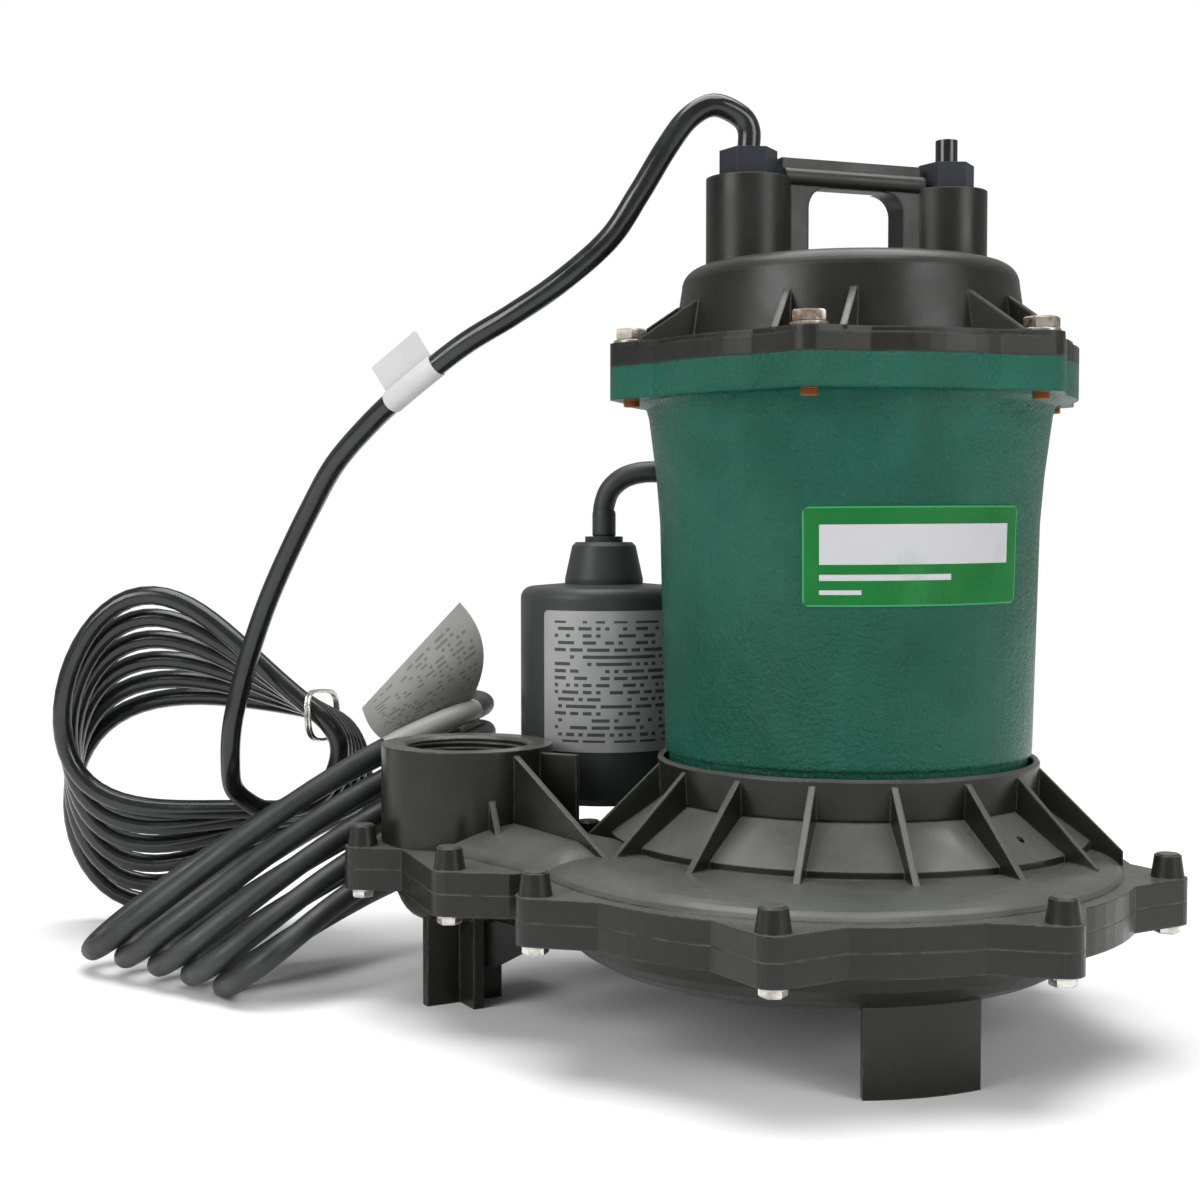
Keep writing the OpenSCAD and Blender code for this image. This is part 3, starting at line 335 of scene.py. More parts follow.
    def worn_edges(self, radius: float) -> tuple[Socket, Socket]:
        """Finds the outer and inner edges of a solid.

        Args:
            radius: Width of the softened edge.

        Returns:
            The softened normal, and a mask that is 1 along edges.
        """
        bevel = self.add("ShaderNodeBevel", Radius=radius)
        bevel.samples = self.BEVEL_SAMPLES
        facing = self.add("ShaderNodeNewGeometry").outputs["Normal"]
        dot = self.add("ShaderNodeVectorMath")
        dot.operation = "DOT_PRODUCT"
        self.link(bevel.outputs["Normal"], dot.inputs[0])
        self.link(facing, dot.inputs[1])
        edges = self.span(dot.outputs["Value"], self.FLAT_DOT, self.EDGE_DOT)
        return bevel.outputs["Normal"], edges

    def parts(self, vector: Socket) -> tuple[Socket, Socket, Socket]:
        """Splits a vector.

        Args:
            vector: Vector socket.

        Returns:
            Its X, Y and Z.
        """
        split = self.add("ShaderNodeSeparateXYZ")
        self.link(vector, split.inputs["Vector"])
        return split.outputs["X"], split.outputs["Y"], split.outputs["Z"]

    def height(self) -> Socket:
        """Height of the surface point above the floor, in metres."""
        return self.parts(self.place)[2]

    def facing_up(self, low: float, high: float) -> Socket:
        """Mask of the faces that look upwards.

        Args:
            low: Upward share of the normal that gives 0.
            high: Upward share of the normal that gives 1.

        Returns:
            The mask.
        """
        normal = self.add("ShaderNodeNewGeometry").outputs["Normal"]
        return self.span(self.parts(normal)[2], low, high)

    def between(self, value: Socket, low: float, high: float) -> Socket:
        """Mask that is 1 where a value lies between two limits.

        Args:
            value: Value to test.
            low: Lower limit.
            high: Upper limit.

        Returns:
            The mask.
        """
        return self.times(self.math("GREATER_THAN", value, low),
                          self.math("LESS_THAN", value, high))

    def finish(self, colour: object, rough: object, metallic: object = 0.0,
               normal: Socket | None = None, specular: float = 0.5) -> bpy.types.Material:
        """Sets the shader's main inputs.

        Args:
            colour: Base colour or socket.
            rough: Roughness or socket.
            metallic: Metallic share or socket.
            normal: Normal, where the surface has relief.
            specular: Level of the dielectric reflection.

        Returns:
            The finished material.
        """
        self.feed(self.shader.inputs["Base Color"], colour)
        self.feed(self.shader.inputs["Roughness"], rough)
        self.feed(self.shader.inputs["Metallic"], metallic)
        self.shader.inputs["Specular IOR Level"].default_value = specular
        if normal is not None:
            self.link(normal, self.shader.inputs["Normal"])
        return self.material


def darker(colour: Rgb, share: float) -> Rgb:
    """A colour with each channel times a share."""
    return tuple(share * channel for channel in colour)


@dataclass(frozen=True)
class MouldedPlastic:
    """Grained thermoplastic with flow marks, rubbed edges, and painted top-light sheen with dust.
    """

    name: str
    colour: Rgb
    worn: Rgb
    rough: float = 0.42
    edge: float = 0.5 * MM
    streaks: float = 0.35
    specular: float = 0.26
    # Upward faces are lightened towards this grey by this share: a painted sheen of the top light,
    # with some dust.
    sheen_and_dust: Rgb = (0.1, 0.1, 0.096)
    sheen_and_dust_share: float = 0.0

    CLOUDS: ClassVar[Noise] = Noise(14.0, 4.0, 0.6, start=0.35)
    FLOW: ClassVar[Noise] = Noise(9.0, 5.0, 0.65, (1.0, 1.0, 5.0), start=0.55, full=0.75,
                                  high=0.4)
    PALE_PATCHES: ClassVar[Noise] = Noise(160.0, 3.0, 0.7, start=0.42, full=0.62, low=0.15, high=0.8)
    # Patches and facing of the painted top-light sheen, with dust, on upward faces.
    SHEEN_AND_DUST_PATCHES: ClassVar[Noise] = Noise(22.0, 5.0, 0.65, start=0.25, full=0.6, low=0.55)
    LEVEL: ClassVar[Flat] = (0.15, 0.8)
    GLOSS: ClassVar[Noise] = Noise(40.0, 4.0, 0.6, low=-0.08, high=0.12)
    GRAINS: ClassVar[Noise] = Noise(1500.0, 2.0, 0.5)
    GRAIN: ClassVar[Relief] = Relief(0.05 * MM, 0.7)
    SINKS: ClassVar[Noise] = Noise(60.0, 3.0, 0.5)
    SINK: ClassVar[Relief] = Relief(0.12 * MM, 0.35)

    def build(self) -> bpy.types.Material:
        """Builds the material.

        Returns:
            The material.
        """
        sheet = NodeSheet(self.name)
        soft, edges = sheet.worn_edges(self.edge)
        pale = tuple(channel * 1.7 + 0.006 for channel in self.colour)
        body = sheet.mix(sheet.spread(self.CLOUDS, self.streaks), self.colour, pale)
        body = sheet.mix(sheet.spread(self.FLOW, self.streaks), body, pale)
        rubbed = sheet.times(edges, sheet.spread(self.PALE_PATCHES))
        body = sheet.mix(rubbed, body, self.worn)
        # Painted sheen of the top light, with some dust: upward faces are mixed towards a pale
        # grey in patches.
        sheen_and_dust_mask = sheet.times(sheet.facing_up(*self.LEVEL), sheet.spread(self.SHEEN_AND_DUST_PATCHES))
        body = sheet.mix(sheet.times(sheen_and_dust_mask, self.sheen_and_dust_share), body, self.sheen_and_dust)
        normal = sheet.bump(sheet.noise(self.GRAINS), self.GRAIN, soft)
        normal = sheet.bump(sheet.noise(self.SINKS), self.SINK, normal)
        return sheet.finish(body, sheet.spread(self.GLOSS, base=self.rough), normal=normal,
                            specular=self.specular)


@dataclass(frozen=True)
class CastPaint:
    """Thick paint over a sand casting, chipped along its edges."""

    name: str
    colour: Rgb
    light: Rgb
    chip: Rgb
    edge: float = 2.0 * MM
    specular: float = 0.26

    CLOUDS: ClassVar[Noise] = Noise(10.0, 4.0, 0.6, start=0.35)
    RUNS: ClassVar[Noise] = Noise(26.0, 4.0, 0.6, (1.0, 1.0, 0.25), start=0.5, full=0.72,
                                  high=0.5)
    RUN_SHADE: ClassVar[float] = 0.72
    CHIPS: ClassVar[Noise] = Noise(240.0, 4.0, 0.75, start=0.56, full=0.6)
    SPECKS: ClassVar[Noise] = Noise(210.0, 2.0, 0.5, start=0.76, full=0.775)
    SAND: ClassVar[Noise] = Noise(620.0, 4.0, 0.65)
    ZONES: ClassVar[Noise] = Noise(16.0, 3.0, 0.6, start=0.42, full=0.6, low=0.5)
    SANDY: ClassVar[Relief] = Relief(1.6 * MM)
    LUMPS: ClassVar[Noise] = Noise(150.0, 3.0, 0.55)
    LUMPY: ClassVar[Relief] = Relief(0.9 * MM, 0.8)
    PITS: ClassVar[float] = 330.0
    PIT_REACH: ClassVar[Flat] = (0.05, 0.3)
    PITTED: ClassVar[Relief] = Relief(0.25 * MM, 0.6)
    GLOSS: ClassVar[Noise] = Noise(90.0, 4.0, 0.6, low=0.16, high=0.3)

    def build(self) -> bpy.types.Material:
        """Builds the material.

        Returns:
            The material.
        """
        sheet = NodeSheet(self.name)
        soft, edges = sheet.worn_edges(self.edge)
        colour = sheet.mix(sheet.spread(self.CLOUDS), self.colour, self.light)
        shade = darker(self.colour, self.RUN_SHADE)
        colour = sheet.mix(sheet.spread(self.RUNS), colour, shade)
        chips = sheet.times(edges, sheet.spread(self.CHIPS))
        chips = sheet.math("MAXIMUM", chips, sheet.spread(self.SPECKS))
        colour = sheet.mix(chips, colour, self.chip)
        sand = sheet.times(sheet.noise(self.SAND), sheet.spread(self.ZONES))
        pits = sheet.span(sheet.cells(self.PITS), *self.PIT_REACH)
        normal = sheet.bump(sand, self.SANDY, soft)
        normal = sheet.bump(sheet.noise(self.LUMPS), self.LUMPY, normal)
        normal = sheet.bump(pits, self.PITTED, normal)
        return sheet.finish(colour, sheet.spread(self.GLOSS), normal=normal,
                            specular=self.specular)


@dataclass(frozen=True)
class Jacket:
    """Rubber or vinyl jacket of a cord, with scuffs."""

    name: str
    colour: Rgb
    scuffed: Rgb
    rough: float

    CLOUDS: ClassVar[Noise] = Noise(35.0, 4.0, 0.6, start=0.4, high=0.7)
    SCUFFS: ClassVar[Noise] = Noise(320.0, 4.0, 0.75, start=0.6, high=0.5)
    GLOSS: ClassVar[Noise] = Noise(110.0, 3.0, 0.6, low=-0.06, high=0.12)
    SKIN: ClassVar[Noise] = Noise(700.0, 3.0, 0.6)
    SKIN_RELIEF: ClassVar[Relief] = Relief(0.03 * MM, 0.7)
    WAVES: ClassVar[Noise] = Noise(80.0, 2.0, 0.5)
    WAVE_RELIEF: ClassVar[Relief] = Relief(0.2 * MM, 0.25)

    def build(self) -> bpy.types.Material:
        """Builds the material.

        Returns:
            The material.
        """
        sheet = NodeSheet(self.name)
        colour = sheet.mix(sheet.spread(self.CLOUDS), self.colour, self.scuffed)
        colour = sheet.mix(sheet.spread(self.SCUFFS), colour, self.scuffed)
        normal = sheet.bump(sheet.noise(self.SKIN), self.SKIN_RELIEF)
        normal = sheet.bump(sheet.noise(self.WAVES), self.WAVE_RELIEF, normal)
        return sheet.finish(colour, sheet.spread(self.GLOSS, base=self.rough), normal=normal)


@dataclass(frozen=True)
class Metal:
    """Bare or plated metal with stains, scratches and, below a height, rust."""

    name: str
    colour: Rgb
    stain: Rgb
    stained: float
    rough: float = 0.32
    grain: Point = (1.0, 1.0, 1.0)
    rust_below: float | None = None

    RUST: ClassVar[Rgb] = (0.27, 0.09, 0.028)
    RUST_FADE: ClassVar[float] = 0.5 * MM
    SPOTS: ClassVar[Noise] = Noise(420.0, 5.0, 0.7)
    PATCHES: ClassVar[Noise] = Noise(130.0, 4.0, 0.65)
    LINES: ClassVar[Noise] = Noise(900.0, 3.0, 0.6)
    LINE_RELIEF: ClassVar[Relief] = Relief(0.02 * MM, 0.6)
    SPOT_RELIEF: ClassVar[Relief] = Relief(0.06 * MM, 0.35)

    def build(self) -> bpy.types.Material:
        """Builds the material.

        Returns:
            The material.
        """
        sheet = NodeSheet(self.name)
        spots = sheet.noise(self.SPOTS)
        more = 0.3 * self.stained
        share = sheet.span(sheet.noise(self.PATCHES), 0.62 - more, 0.78 - more)
        share = sheet.times(share, sheet.span(spots, 0.3, 0.6, 0.45, 1.0))
        rusty = None
        if self.rust_below is not None:
            rusty = sheet.span(sheet.height(), self.rust_below + self.RUST_FADE, self.rust_below)
            crust = sheet.times(rusty, sheet.span(spots, 0.2, 0.5, 0.6, 1.0))
            share = sheet.math("MAXIMUM", share, crust)
        colour = sheet.mix(share, self.colour, self.stain)
        if rusty is not None:
            colour = sheet.mix(rusty, colour, self.RUST)
        lines = sheet.noise(replace(self.LINES, stretch=self.grain))
        rough = sheet.math("ADD", sheet.span(lines, 0.3, 0.7, self.rough - 0.08, self.rough + 0.1),
                           sheet.times(share, 0.32))
        normal = sheet.bump(lines, self.LINE_RELIEF)
        normal = sheet.bump(spots, self.SPOT_RELIEF, normal)
        metallic = sheet.span(share, 0.0, 1.0, 1.0, 0.25)
        return sheet.finish(colour, rough, metallic=metallic, normal=normal)


@dataclass(frozen=True)
class Laminations:
    """Stacked sheets of the motor's iron."""

    name: str
    colour: Rgb
    sheet_t: float = 1.5 * MM

    RIDGE: ClassVar[Relief] = Relief(0.2 * MM, 0.6)
    GLOSS: ClassVar[Noise] = Noise(300.0, low=0.3, high=0.5)

    def build(self) -> bpy.types.Material:
        """Builds the material.

        Returns:
            The material.
        """
        sheet = NodeSheet(self.name)
        stack = sheet.math("PINGPONG", sheet.height(), self.sheet_t)
        ridge = sheet.span(stack, 0.0, self.sheet_t)
        colour = sheet.mix(sheet.span(ridge, 0.0, 0.4), darker(self.colour, 0.35), self.colour)
        return sheet.finish(colour, sheet.spread(self.GLOSS), metallic=0.9,
                            normal=sheet.bump(ridge, self.RIDGE))


@dataclass(frozen=True)
class Varnished:
    """Varnished copper turns of a winding."""

    name: str
    colour: Rgb
    turn: float = 1.1 * MM

    STRANDED: ClassVar[Relief] = Relief(0.5 * MM, 0.8)
    # Phase of the wave texture, in radians per metre, at a scale of 1.
    PHASE: ClassVar[float] = 20.0

    def build(self) -> bpy.types.Material:
        """Builds the material.

        Returns:
            The material.
        """
        sheet = NodeSheet(self.name)
        wave = sheet.add("ShaderNodeTexWave", Scale=1 / self.turn / self.PHASE,
                         Distortion=3.0, Detail=3.0)
        wave.wave_type = "RINGS"
        wave.rings_direction = "Z"
        sheet.link(sheet.place, wave.inputs["Vector"])
        strands = wave.outputs["Fac"]
        colour = sheet.mix(strands, darker(self.colour, 0.4), self.colour)
        return sheet.finish(colour, 0.28, metallic=0.4,
                            normal=sheet.bump(strands, self.STRANDED))


@dataclass(frozen=True)
class PrintedFilm:
    """Adhesive label: a ground colour, a thin rim, and plain dashes or blocks.

    Blocks and the border are shares of the label's width and height.
    """

    name: str
    ground: Rgb
    second: Rgb
    ink: Rgb
    rows: float
    filled: float
    rough: float = 0.3
    metallic: float = 0.0
    border: float = 0.035
    rim: Rgb | None = None
    blocks: tuple[tuple[float, float, float, float], ...] = ()
    sheen: float = 0.12
    specular: float = 0.25

    CLOUDS: ClassVar[Noise] = Noise(38.0, start=0.35)
    # Paler streaks: a painted sheen on the film, with some rubbed wear.
    PALE_PATCHES: ClassVar[Noise] = Noise(60.0, 4.0, 0.7, (1.0, 1.0, 0.3), start=0.55, full=0.8)
    GLOSS: ClassVar[Noise] = Noise(120.0, 4.0, low=-0.05, high=0.1)
    WAVES: ClassVar[Noise] = Noise(70.0)
    WAVE_RELIEF: ClassVar[Relief] = Relief(0.25 * MM, 0.3)
    DASHES_PER_ROW: ClassVar[float] = 2.2

    def build(self) -> bpy.types.Material:
        """Builds the material on the label's own flat coordinates.

        Returns:
            The material.
        """
        sheet = NodeSheet(self.name)
        flat = sheet.add("ShaderNodeUVMap")
        flat.uv_map = LABEL_MAP
        across, up, _ = sheet.parts(flat.outputs["UV"])
        inked = self.dashes(sheet, across, up)
        for left, right, low, high in self.blocks:
            block = sheet.times(sheet.between(across, left, right), sheet.between(up, low, high))
            inked = sheet.math("MAXIMUM", inked, block)
        ground = sheet.mix(sheet.spread(self.CLOUDS), self.ground, self.second)
        colour = sheet.mix(inked, ground, self.ink)
        if self.rim is not None:
            wide, tall = self.border * 0.22, self.border * 0.5
            inner = sheet.times(sheet.between(across, wide, 1 - wide),
                                sheet.between(up, tall, 1 - tall))
            colour = sheet.mix(inner, self.rim, colour)
        # Paler streaks towards a lighter ground: painted sheen, with some rubbed wear; sheen sets
        # their share.
        pale = tuple(min(1.0, 1.8 * channel + 0.05) for channel in self.ground)
        colour = sheet.mix(sheet.spread(self.PALE_PATCHES, self.sheen), colour, pale)
        normal = sheet.bump(sheet.noise(self.WAVES), self.WAVE_RELIEF)
        return sheet.finish(colour, sheet.spread(self.GLOSS, base=self.rough),
                            metallic=self.metallic, normal=normal, specular=self.specular)

    def dashes(self, sheet: NodeSheet, across: Socket, up: Socket) -> Socket:
        """Rows of plain dashes that stand for lines of print.

        Args:
            sheet: Tree to add to.
            across: Flat coordinate along the rows.
            up: Flat coordinate across the rows.

        Returns:
            Mask that is 1 on the ink.
        """
        line = sheet.times(up, self.rows)
        within = sheet.math("FRACT", line)
        bar = sheet.times(sheet.span(within, 0.24, 0.28), sheet.span(within, 0.76, 0.72))
        dash = sheet.add("ShaderNodeCombineXYZ")
        dashes_wide = self.rows * self.DASHES_PER_ROW
        sheet.link(sheet.math("FLOOR", sheet.times(across, dashes_wide)), dash.inputs["X"])
        sheet.link(sheet.math("FLOOR", line), dash.inputs["Y"])
        chance = sheet.add("ShaderNodeTexWhiteNoise")
        chance.noise_dimensions = "2D"
        sheet.link(dash.outputs["Vector"], chance.inputs["Vector"])
        inked = sheet.times(sheet.math("LESS_THAN", chance.outputs["Value"], self.filled), bar)
        margin = self.border * 2
        for value in (across, up):
            inked = sheet.times(inked, sheet.between(value, margin, 1 - margin))
        return inked


class Finishes:
    """Every finish of the pump, built once."""

    def __init__(self) -> None:
        """Builds the materials."""
        # The cover's and the volute's pale grey on upward faces is a painted top-light sheen, with
        # some dust.
        self.cover = MouldedPlastic(
            "cover_plastic", colour=(0.0105, 0.0103, 0.0096), worn=(0.075, 0.076, 0.074),
            rough=0.34, edge=1.2 * MM, specular=0.3, sheen_and_dust=(0.06, 0.06, 0.057), sheen_and_dust_share=0.6).build()
        self.volute = MouldedPlastic(
            "volute_plastic", colour=(0.0092, 0.0092, 0.0082), worn=(0.13, 0.132, 0.128),
            rough=0.28, edge=0.9 * MM, streaks=0.6, specular=0.3, sheen_and_dust_share=0.95).build()
        self.gland = MouldedPlastic(
            "gland_nylon", colour=(0.020, 0.0225, 0.029), worn=(0.09, 0.1, 0.12),
            rough=0.38, edge=0.35 * MM).build()
        self.float_shell = MouldedPlastic(
            "float_plastic", colour=(0.028, 0.033, 0.031), worn=(0.1, 0.11, 0.105),
            rough=0.4, streaks=0.4).build()
        self.impeller = MouldedPlastic(
            "impeller_plastic", colour=(0.34, 0.25, 0.11), worn=(0.5, 0.42, 0.28),
            rough=0.45).build()
        self.paint = CastPaint(
            "green_paint", colour=(0.001, 0.068, 0.04), light=(0.003, 0.096, 0.06),
            chip=(0.02, 0.035, 0.028)).build()
        self.cord = Jacket(
            "power_cord_jacket", colour=(0.006, 0.0062, 0.0065), scuffed=(0.018, 0.019, 0.02),
            rough=0.17).build()
        self.float_cord = Jacket(
            "float_cord_jacket", colour=(0.011, 0.0115, 0.0115), scuffed=(0.035, 0.036, 0.036),
            rough=0.46).build()
        self.rubber = Jacket(
            "seal_rubber", colour=(0.012, 0.012, 0.012), scuffed=(0.03, 0.03, 0.03),
            rough=0.6).build()
        self.bolt = Metal(
            "weathered_steel", colour=(0.40, 0.37, 0.32), stain=(0.12, 0.075, 0.045),
            stained=0.6, rough=0.38, rust_below=0.2335).build()
        self.zinc = Metal(
            "bright_zinc", colour=(0.62, 0.61, 0.57), stain=(0.3, 0.27, 0.21), stained=0.3,
            rough=0.28).build()
        self.shaft = Metal(
            "turned_steel", colour=(0.6, 0.6, 0.6), stain=(0.35, 0.33, 0.3), stained=0.1,
            rough=0.2, grain=(1.0, 1.0, 12.0)).build()
        self.can = Metal(
            "drawn_aluminium", colour=(0.75, 0.75, 0.77), stain=(0.5, 0.5, 0.5), stained=0.15,
            rough=0.3).build()
        self.casting = Metal(
            "cast_aluminium", colour=(0.55, 0.55, 0.55), stain=(0.35, 0.35, 0.34), stained=0.5,
            rough=0.5).build()
        self.blade = Metal(
            "plated_brass", colour=(0.7, 0.62, 0.42), stain=(0.4, 0.33, 0.18), stained=0.2,
            rough=0.25).build()
        self.iron = Laminations("lamination_steel", colour=(0.3, 0.3, 0.31)).build()
        self.copper = Varnished("winding_copper", colour=(0.55, 0.2, 0.06)).build()
        self.sticker = PrintedFilm(
            "green_film", ground=(0.001, 0.115, 0.019), second=(0.003, 0.145, 0.024),
            ink=(0.47, 0.47, 0.49), rows=2.0, filled=0.0, rim=(0.03, 0.26, 0.09), sheen=0.3,
            blocks=((0.07, 0.93, 0.42, 0.82), (0.07, 0.62, 0.26, 0.32),
                    (0.07, 0.24, 0.12, 0.165))).build()
        self.foil = PrintedFilm(
            "silver_foil", ground=(0.31, 0.315, 0.31), second=(0.35, 0.355, 0.35),
            ink=(0.06, 0.06, 0.06), rows=20.0, filled=0.6, rough=0.38, metallic=0.3).build()
        self.paper = PrintedFilm(
            "white_film", ground=(0.47, 0.47, 0.47), second=(0.52, 0.52, 0.52),
            ink=(0.3, 0.3, 0.3), rows=3.0, filled=0.0, rough=0.4).build()
        self.tag = PrintedFilm(
            "tag_film", ground=(0.27, 0.27, 0.25), second=(0.31, 0.31, 0.29),
            ink=(0.17, 0.17, 0.16), rows=16.0, filled=0.35, rough=0.35).build()


# ---------------------------------------------------------------- meshes
def put(name: str, vertices: Sequence[Point], faces: Sequence[Face],
        material: bpy.types.Material, sharp: float = 35.0) -> bpy.types.Object:
    """Makes a mesh object.

    Args:
        name: Name of the piece.
        vertices: Points in metres.
        faces: Corner indices of each face.
        material: Finish of the whole piece.
        sharp: Edges steeper than this many degrees stay crisp.

    Returns:
        The new object, in the scene.
    """
    mesh = bpy.data.meshes.new(name)
    mesh.from_pydata(list(vertices), [], list(faces))
    mesh.validate()
    mesh.materials.append(material)
    mesh.shade_smooth()
    mesh.set_sharp_from_angle(angle=math.radians(sharp))
    piece = bpy.data.objects.new(name, mesh)
    bpy.context.scene.collection.objects.link(piece)
    return piece


def lay_flat(piece: bpy.types.Object, flat: Sequence[Flat]) -> None:
    """Gives a label its own flat coordinates, from 0 to 1 across and up.

    Args:
        piece: The label.
        flat: Flat coordinates of each vertex.
    """
    layer = piece.data.uv_layers.new(name=LABEL_MAP)
    for loop in piece.data.loops:
        layer.data[loop.index].uv = flat[loop.vertex_index]


def settle(piece: bpy.types.Object, body: Body, slot: Slot, *nodes: str) -> bpy.types.Object:
    """Fixes a piece to its body and hides what it stands for.

    Args:
        piece: The piece.
        body: Body that it moves with.
        slot: Record slot of its finish; not used.
        *nodes: Solids that it replaces.

    Returns:
        The same piece.
    """
    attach(piece, body.value)
    if nodes:
        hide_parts(*nodes)
    LOG.info("piece %s rides on %s", piece.name, body.value)
    return piece


def ring(centre: Vector, radius: float, side: Vector, other: Vector, sides: int,
         phase: float = 0.0) -> list[Vector]:
    """Points round a circle.

    Args:
        centre: Its centre.
        radius: Its radius.
        side: Direction of the first point where phase is 0.
        other: Direction of the point a quarter turn on.
        sides: Number of points.
        phase: Turn of the first point, in radians.

    Returns:
        The points.
    """
    turns = [phase + FULL_TURN * k / sides for k in range(sides)]
    return [centre + radius * (math.cos(turn) * side + math.sin(turn) * other) for turn in turns]


def tube_faces(rings: int, sides: int) -> list[Face]:
    """Faces that join each ring of points to the next, with both ends closed.

    Args:
        rings: Number of rings.
        sides: Points in each ring.

    Returns:
        The faces.
    """
    last = (rings - 1) * sides
    faces: list[Face] = []
    for start in range(0, last, sides):
        for k in range(sides):
            a, b = start + k, start + (k + 1) % sides
            faces.append((a, b, b + sides, a + sides))
    faces.append(tuple(range(sides - 1, -1, -1)))
    faces.append(tuple(range(last, last + sides)))
    return faces


def grid_faces(columns: int, rows: int) -> list[Face]:
    """Faces over a grid of points, which are counted row by row.

    Args:
        columns: Faces across.
        rows: Faces up.

    Returns:
        The faces.
    """
    across = columns + 1
    return [(a, a + 1, a + across + 1, a + across)
            for row in range(rows) for a in range(row * across, row * across + columns)]


def film_faces(columns: int, rows: int) -> list[Face]:
    """Faces of a thin film: a grid in front, the same grid behind it, and the rim.

    Args:
        columns: Faces across.
        rows: Faces up.

    Returns:
        The faces.
    """
    across = columns + 1
    behind = across * (rows + 1)
    front = grid_faces(columns, rows)
    back = [tuple(behind + corner for corner in reversed(face)) for face in front]
    rim = [*range(across), *range(across + columns, behind, across),
           *range(behind - 2, behind - across - 1, -1), *range(behind - 2 * across, 0, -across)]
    edge = [(a, a + behind, b + behind, b) for a, b in zip(rim, rim[1:] + rim[:1])]
    return front + back + edge


@dataclass
class Shape:
    """Vertices and faces of one piece, in millimetres, that grow form by form."""

    vertices: list[Point] = field(default_factory=list)
    faces: list[Face] = field(default_factory=list)

    def join(self, vertices: Iterable[Sequence[float]], faces: Iterable[Face]) -> None:
        """Adds another form.

        Args:
            vertices: Its points.
            faces: Its faces, counted from its own first point.
        """
        start = len(self.vertices)
        self.vertices.extend(tuple(vertex) for vertex in vertices)
        self.faces.extend(tuple(start + corner for corner in face) for face in faces)

    def turned(self, profile: Sequence[Flat], centre: Vector, axis: Vector, sides: int,
               phase: float = 0.0) -> None:
        """Adds a profile turned round an axis, closed at both ends.

        Args:
            profile: Pairs of radius and distance along the axis.
            centre: Point on the axis.
            axis: Direction of the axis, of length 1.
            sides: Number of sides round it.
            phase: Turn of the first side, in radians.
        """
        side = RIGHT if axis.z else axis.orthogonal().normalized()
        other = axis.cross(side)
        points: list[Vector] = []
        for radius, along in profile:
            points += ring(centre + along * axis, radius, side, other, sides, phase)
        self.join(points, tube_faces(len(profile), sides))

    def swept(self, line: Sequence[Vector], radius: float, sides: int) -> None:
        """Adds a tube along a line.

        Args:
            line: Centre points.
            radius: Radius of the tube.
            sides: Number of sides.
        """
        last = len(line) - 1
        side = (line[1] - line[0]).normalized().orthogonal()
        points: list[Vector] = []
        for i, centre in enumerate(line):
            way = (line[min(i + 1, last)] - line[max(i - 1, 0)]).normalized()
            side = (side - side.dot(way) * way).normalized()
            points += ring(centre, radius, side, way.cross(side), sides)
        self.join(points, tube_faces(len(line), sides))

    def slab(self, outline: Sequence[Vector], through: Vector) -> None:
        """Adds a flat slab.

        Args:
            outline: Corners of one side, counter-clockwise as seen from outside.
            through: Way from that side to the other.
        """
        count = len(outline)
        faces: list[Face] = [tuple(range(count)), tuple(range(2 * count - 1, count - 1, -1))]
        faces += [(k, count + k, count + (k + 1) % count, (k + 1) % count) for k in range(count)]
        self.join([*outline, *(corner + through for corner in outline)], faces)

    def made(self, name: str, material: bpy.types.Material,
             sharp: float = 35.0) -> bpy.types.Object:
        """Makes the object.

        Args:
            name: Name of the piece.
            material: Its finish.
            sharp: Edges steeper than this many degrees stay crisp.

        Returns:
            The new object.
        """
        metres = [(x * MM, y * MM, z * MM) for x, y, z in self.vertices]
        return put(name, metres, self.faces, material, sharp)


# ---------------------------------------------------------------- cords
@dataclass(frozen=True)
class Loops:
    """Loops of a cord.

    A loop's spine runs from a far tip through a middle to a near end, and all three
    move on by a step with each turn. The widths are half the loop's width at the tip,
    the middle and the near end. The start is in degrees.
    """

    turns: int
    start: float
    way: int
    tip: Point
    tip_step: Point
    near: Point
    near_step: Point
    middle: Point
    middle_step: Point
    widths: Point
    stack: Point

    # Share of a turn over which the cord's direction is taken.
    STEP: ClassVar[float] = 1 / 24

    def at(self, count: float) -> Vector:
        """Point after a number of turns.

        Args:
            count: Turns from the first point.

        Returns:
            The point.
        """
        turn = math.radians(self.start + self.way * 360 * count)
        tip = Vector(self.tip) + count * Vector(self.tip_step)
        near = Vector(self.near) + count * Vector(self.near_step)
        middle = Vector(self.middle) + count * Vector(self.middle_step)
        wide_tip, wide_middle, wide_near = self.widths
        spine = self.bent(tip, middle, near, math.cos(turn))
        half = self.bent(wide_tip, wide_middle, wide_near, math.cos(turn))
        side = Vector(self.stack).cross(tip - near).normalized()
        return spine + side * half * math.sin(turn)

    @staticmethod
    def bent(tip: Vector | float, middle: Vector | float, near: Vector | float,
             share: float) -> Vector | float:
        """Value on the curve that has near at -1, middle at 0 and tip at 1."""
        return middle + (tip - near) / 2 * share + ((tip + near) / 2 - middle) * share ** 2

    def line(self, rings: int) -> list[Vector]:
        """Points along all the loops.

        Args:
            rings: Points per turn.

        Returns:
            The points.
        """
        return [self.at(i / rings) for i in range(self.turns * rings + 1)]

    def lead(self, count: float) -> Vector:
        """Direction of the cord after a number of turns.

        Args:
            count: Turns from the first point.

        Returns:
            A unit vector.
        """
        return (self.at(count + self.STEP) - self.at(count)).normalized()


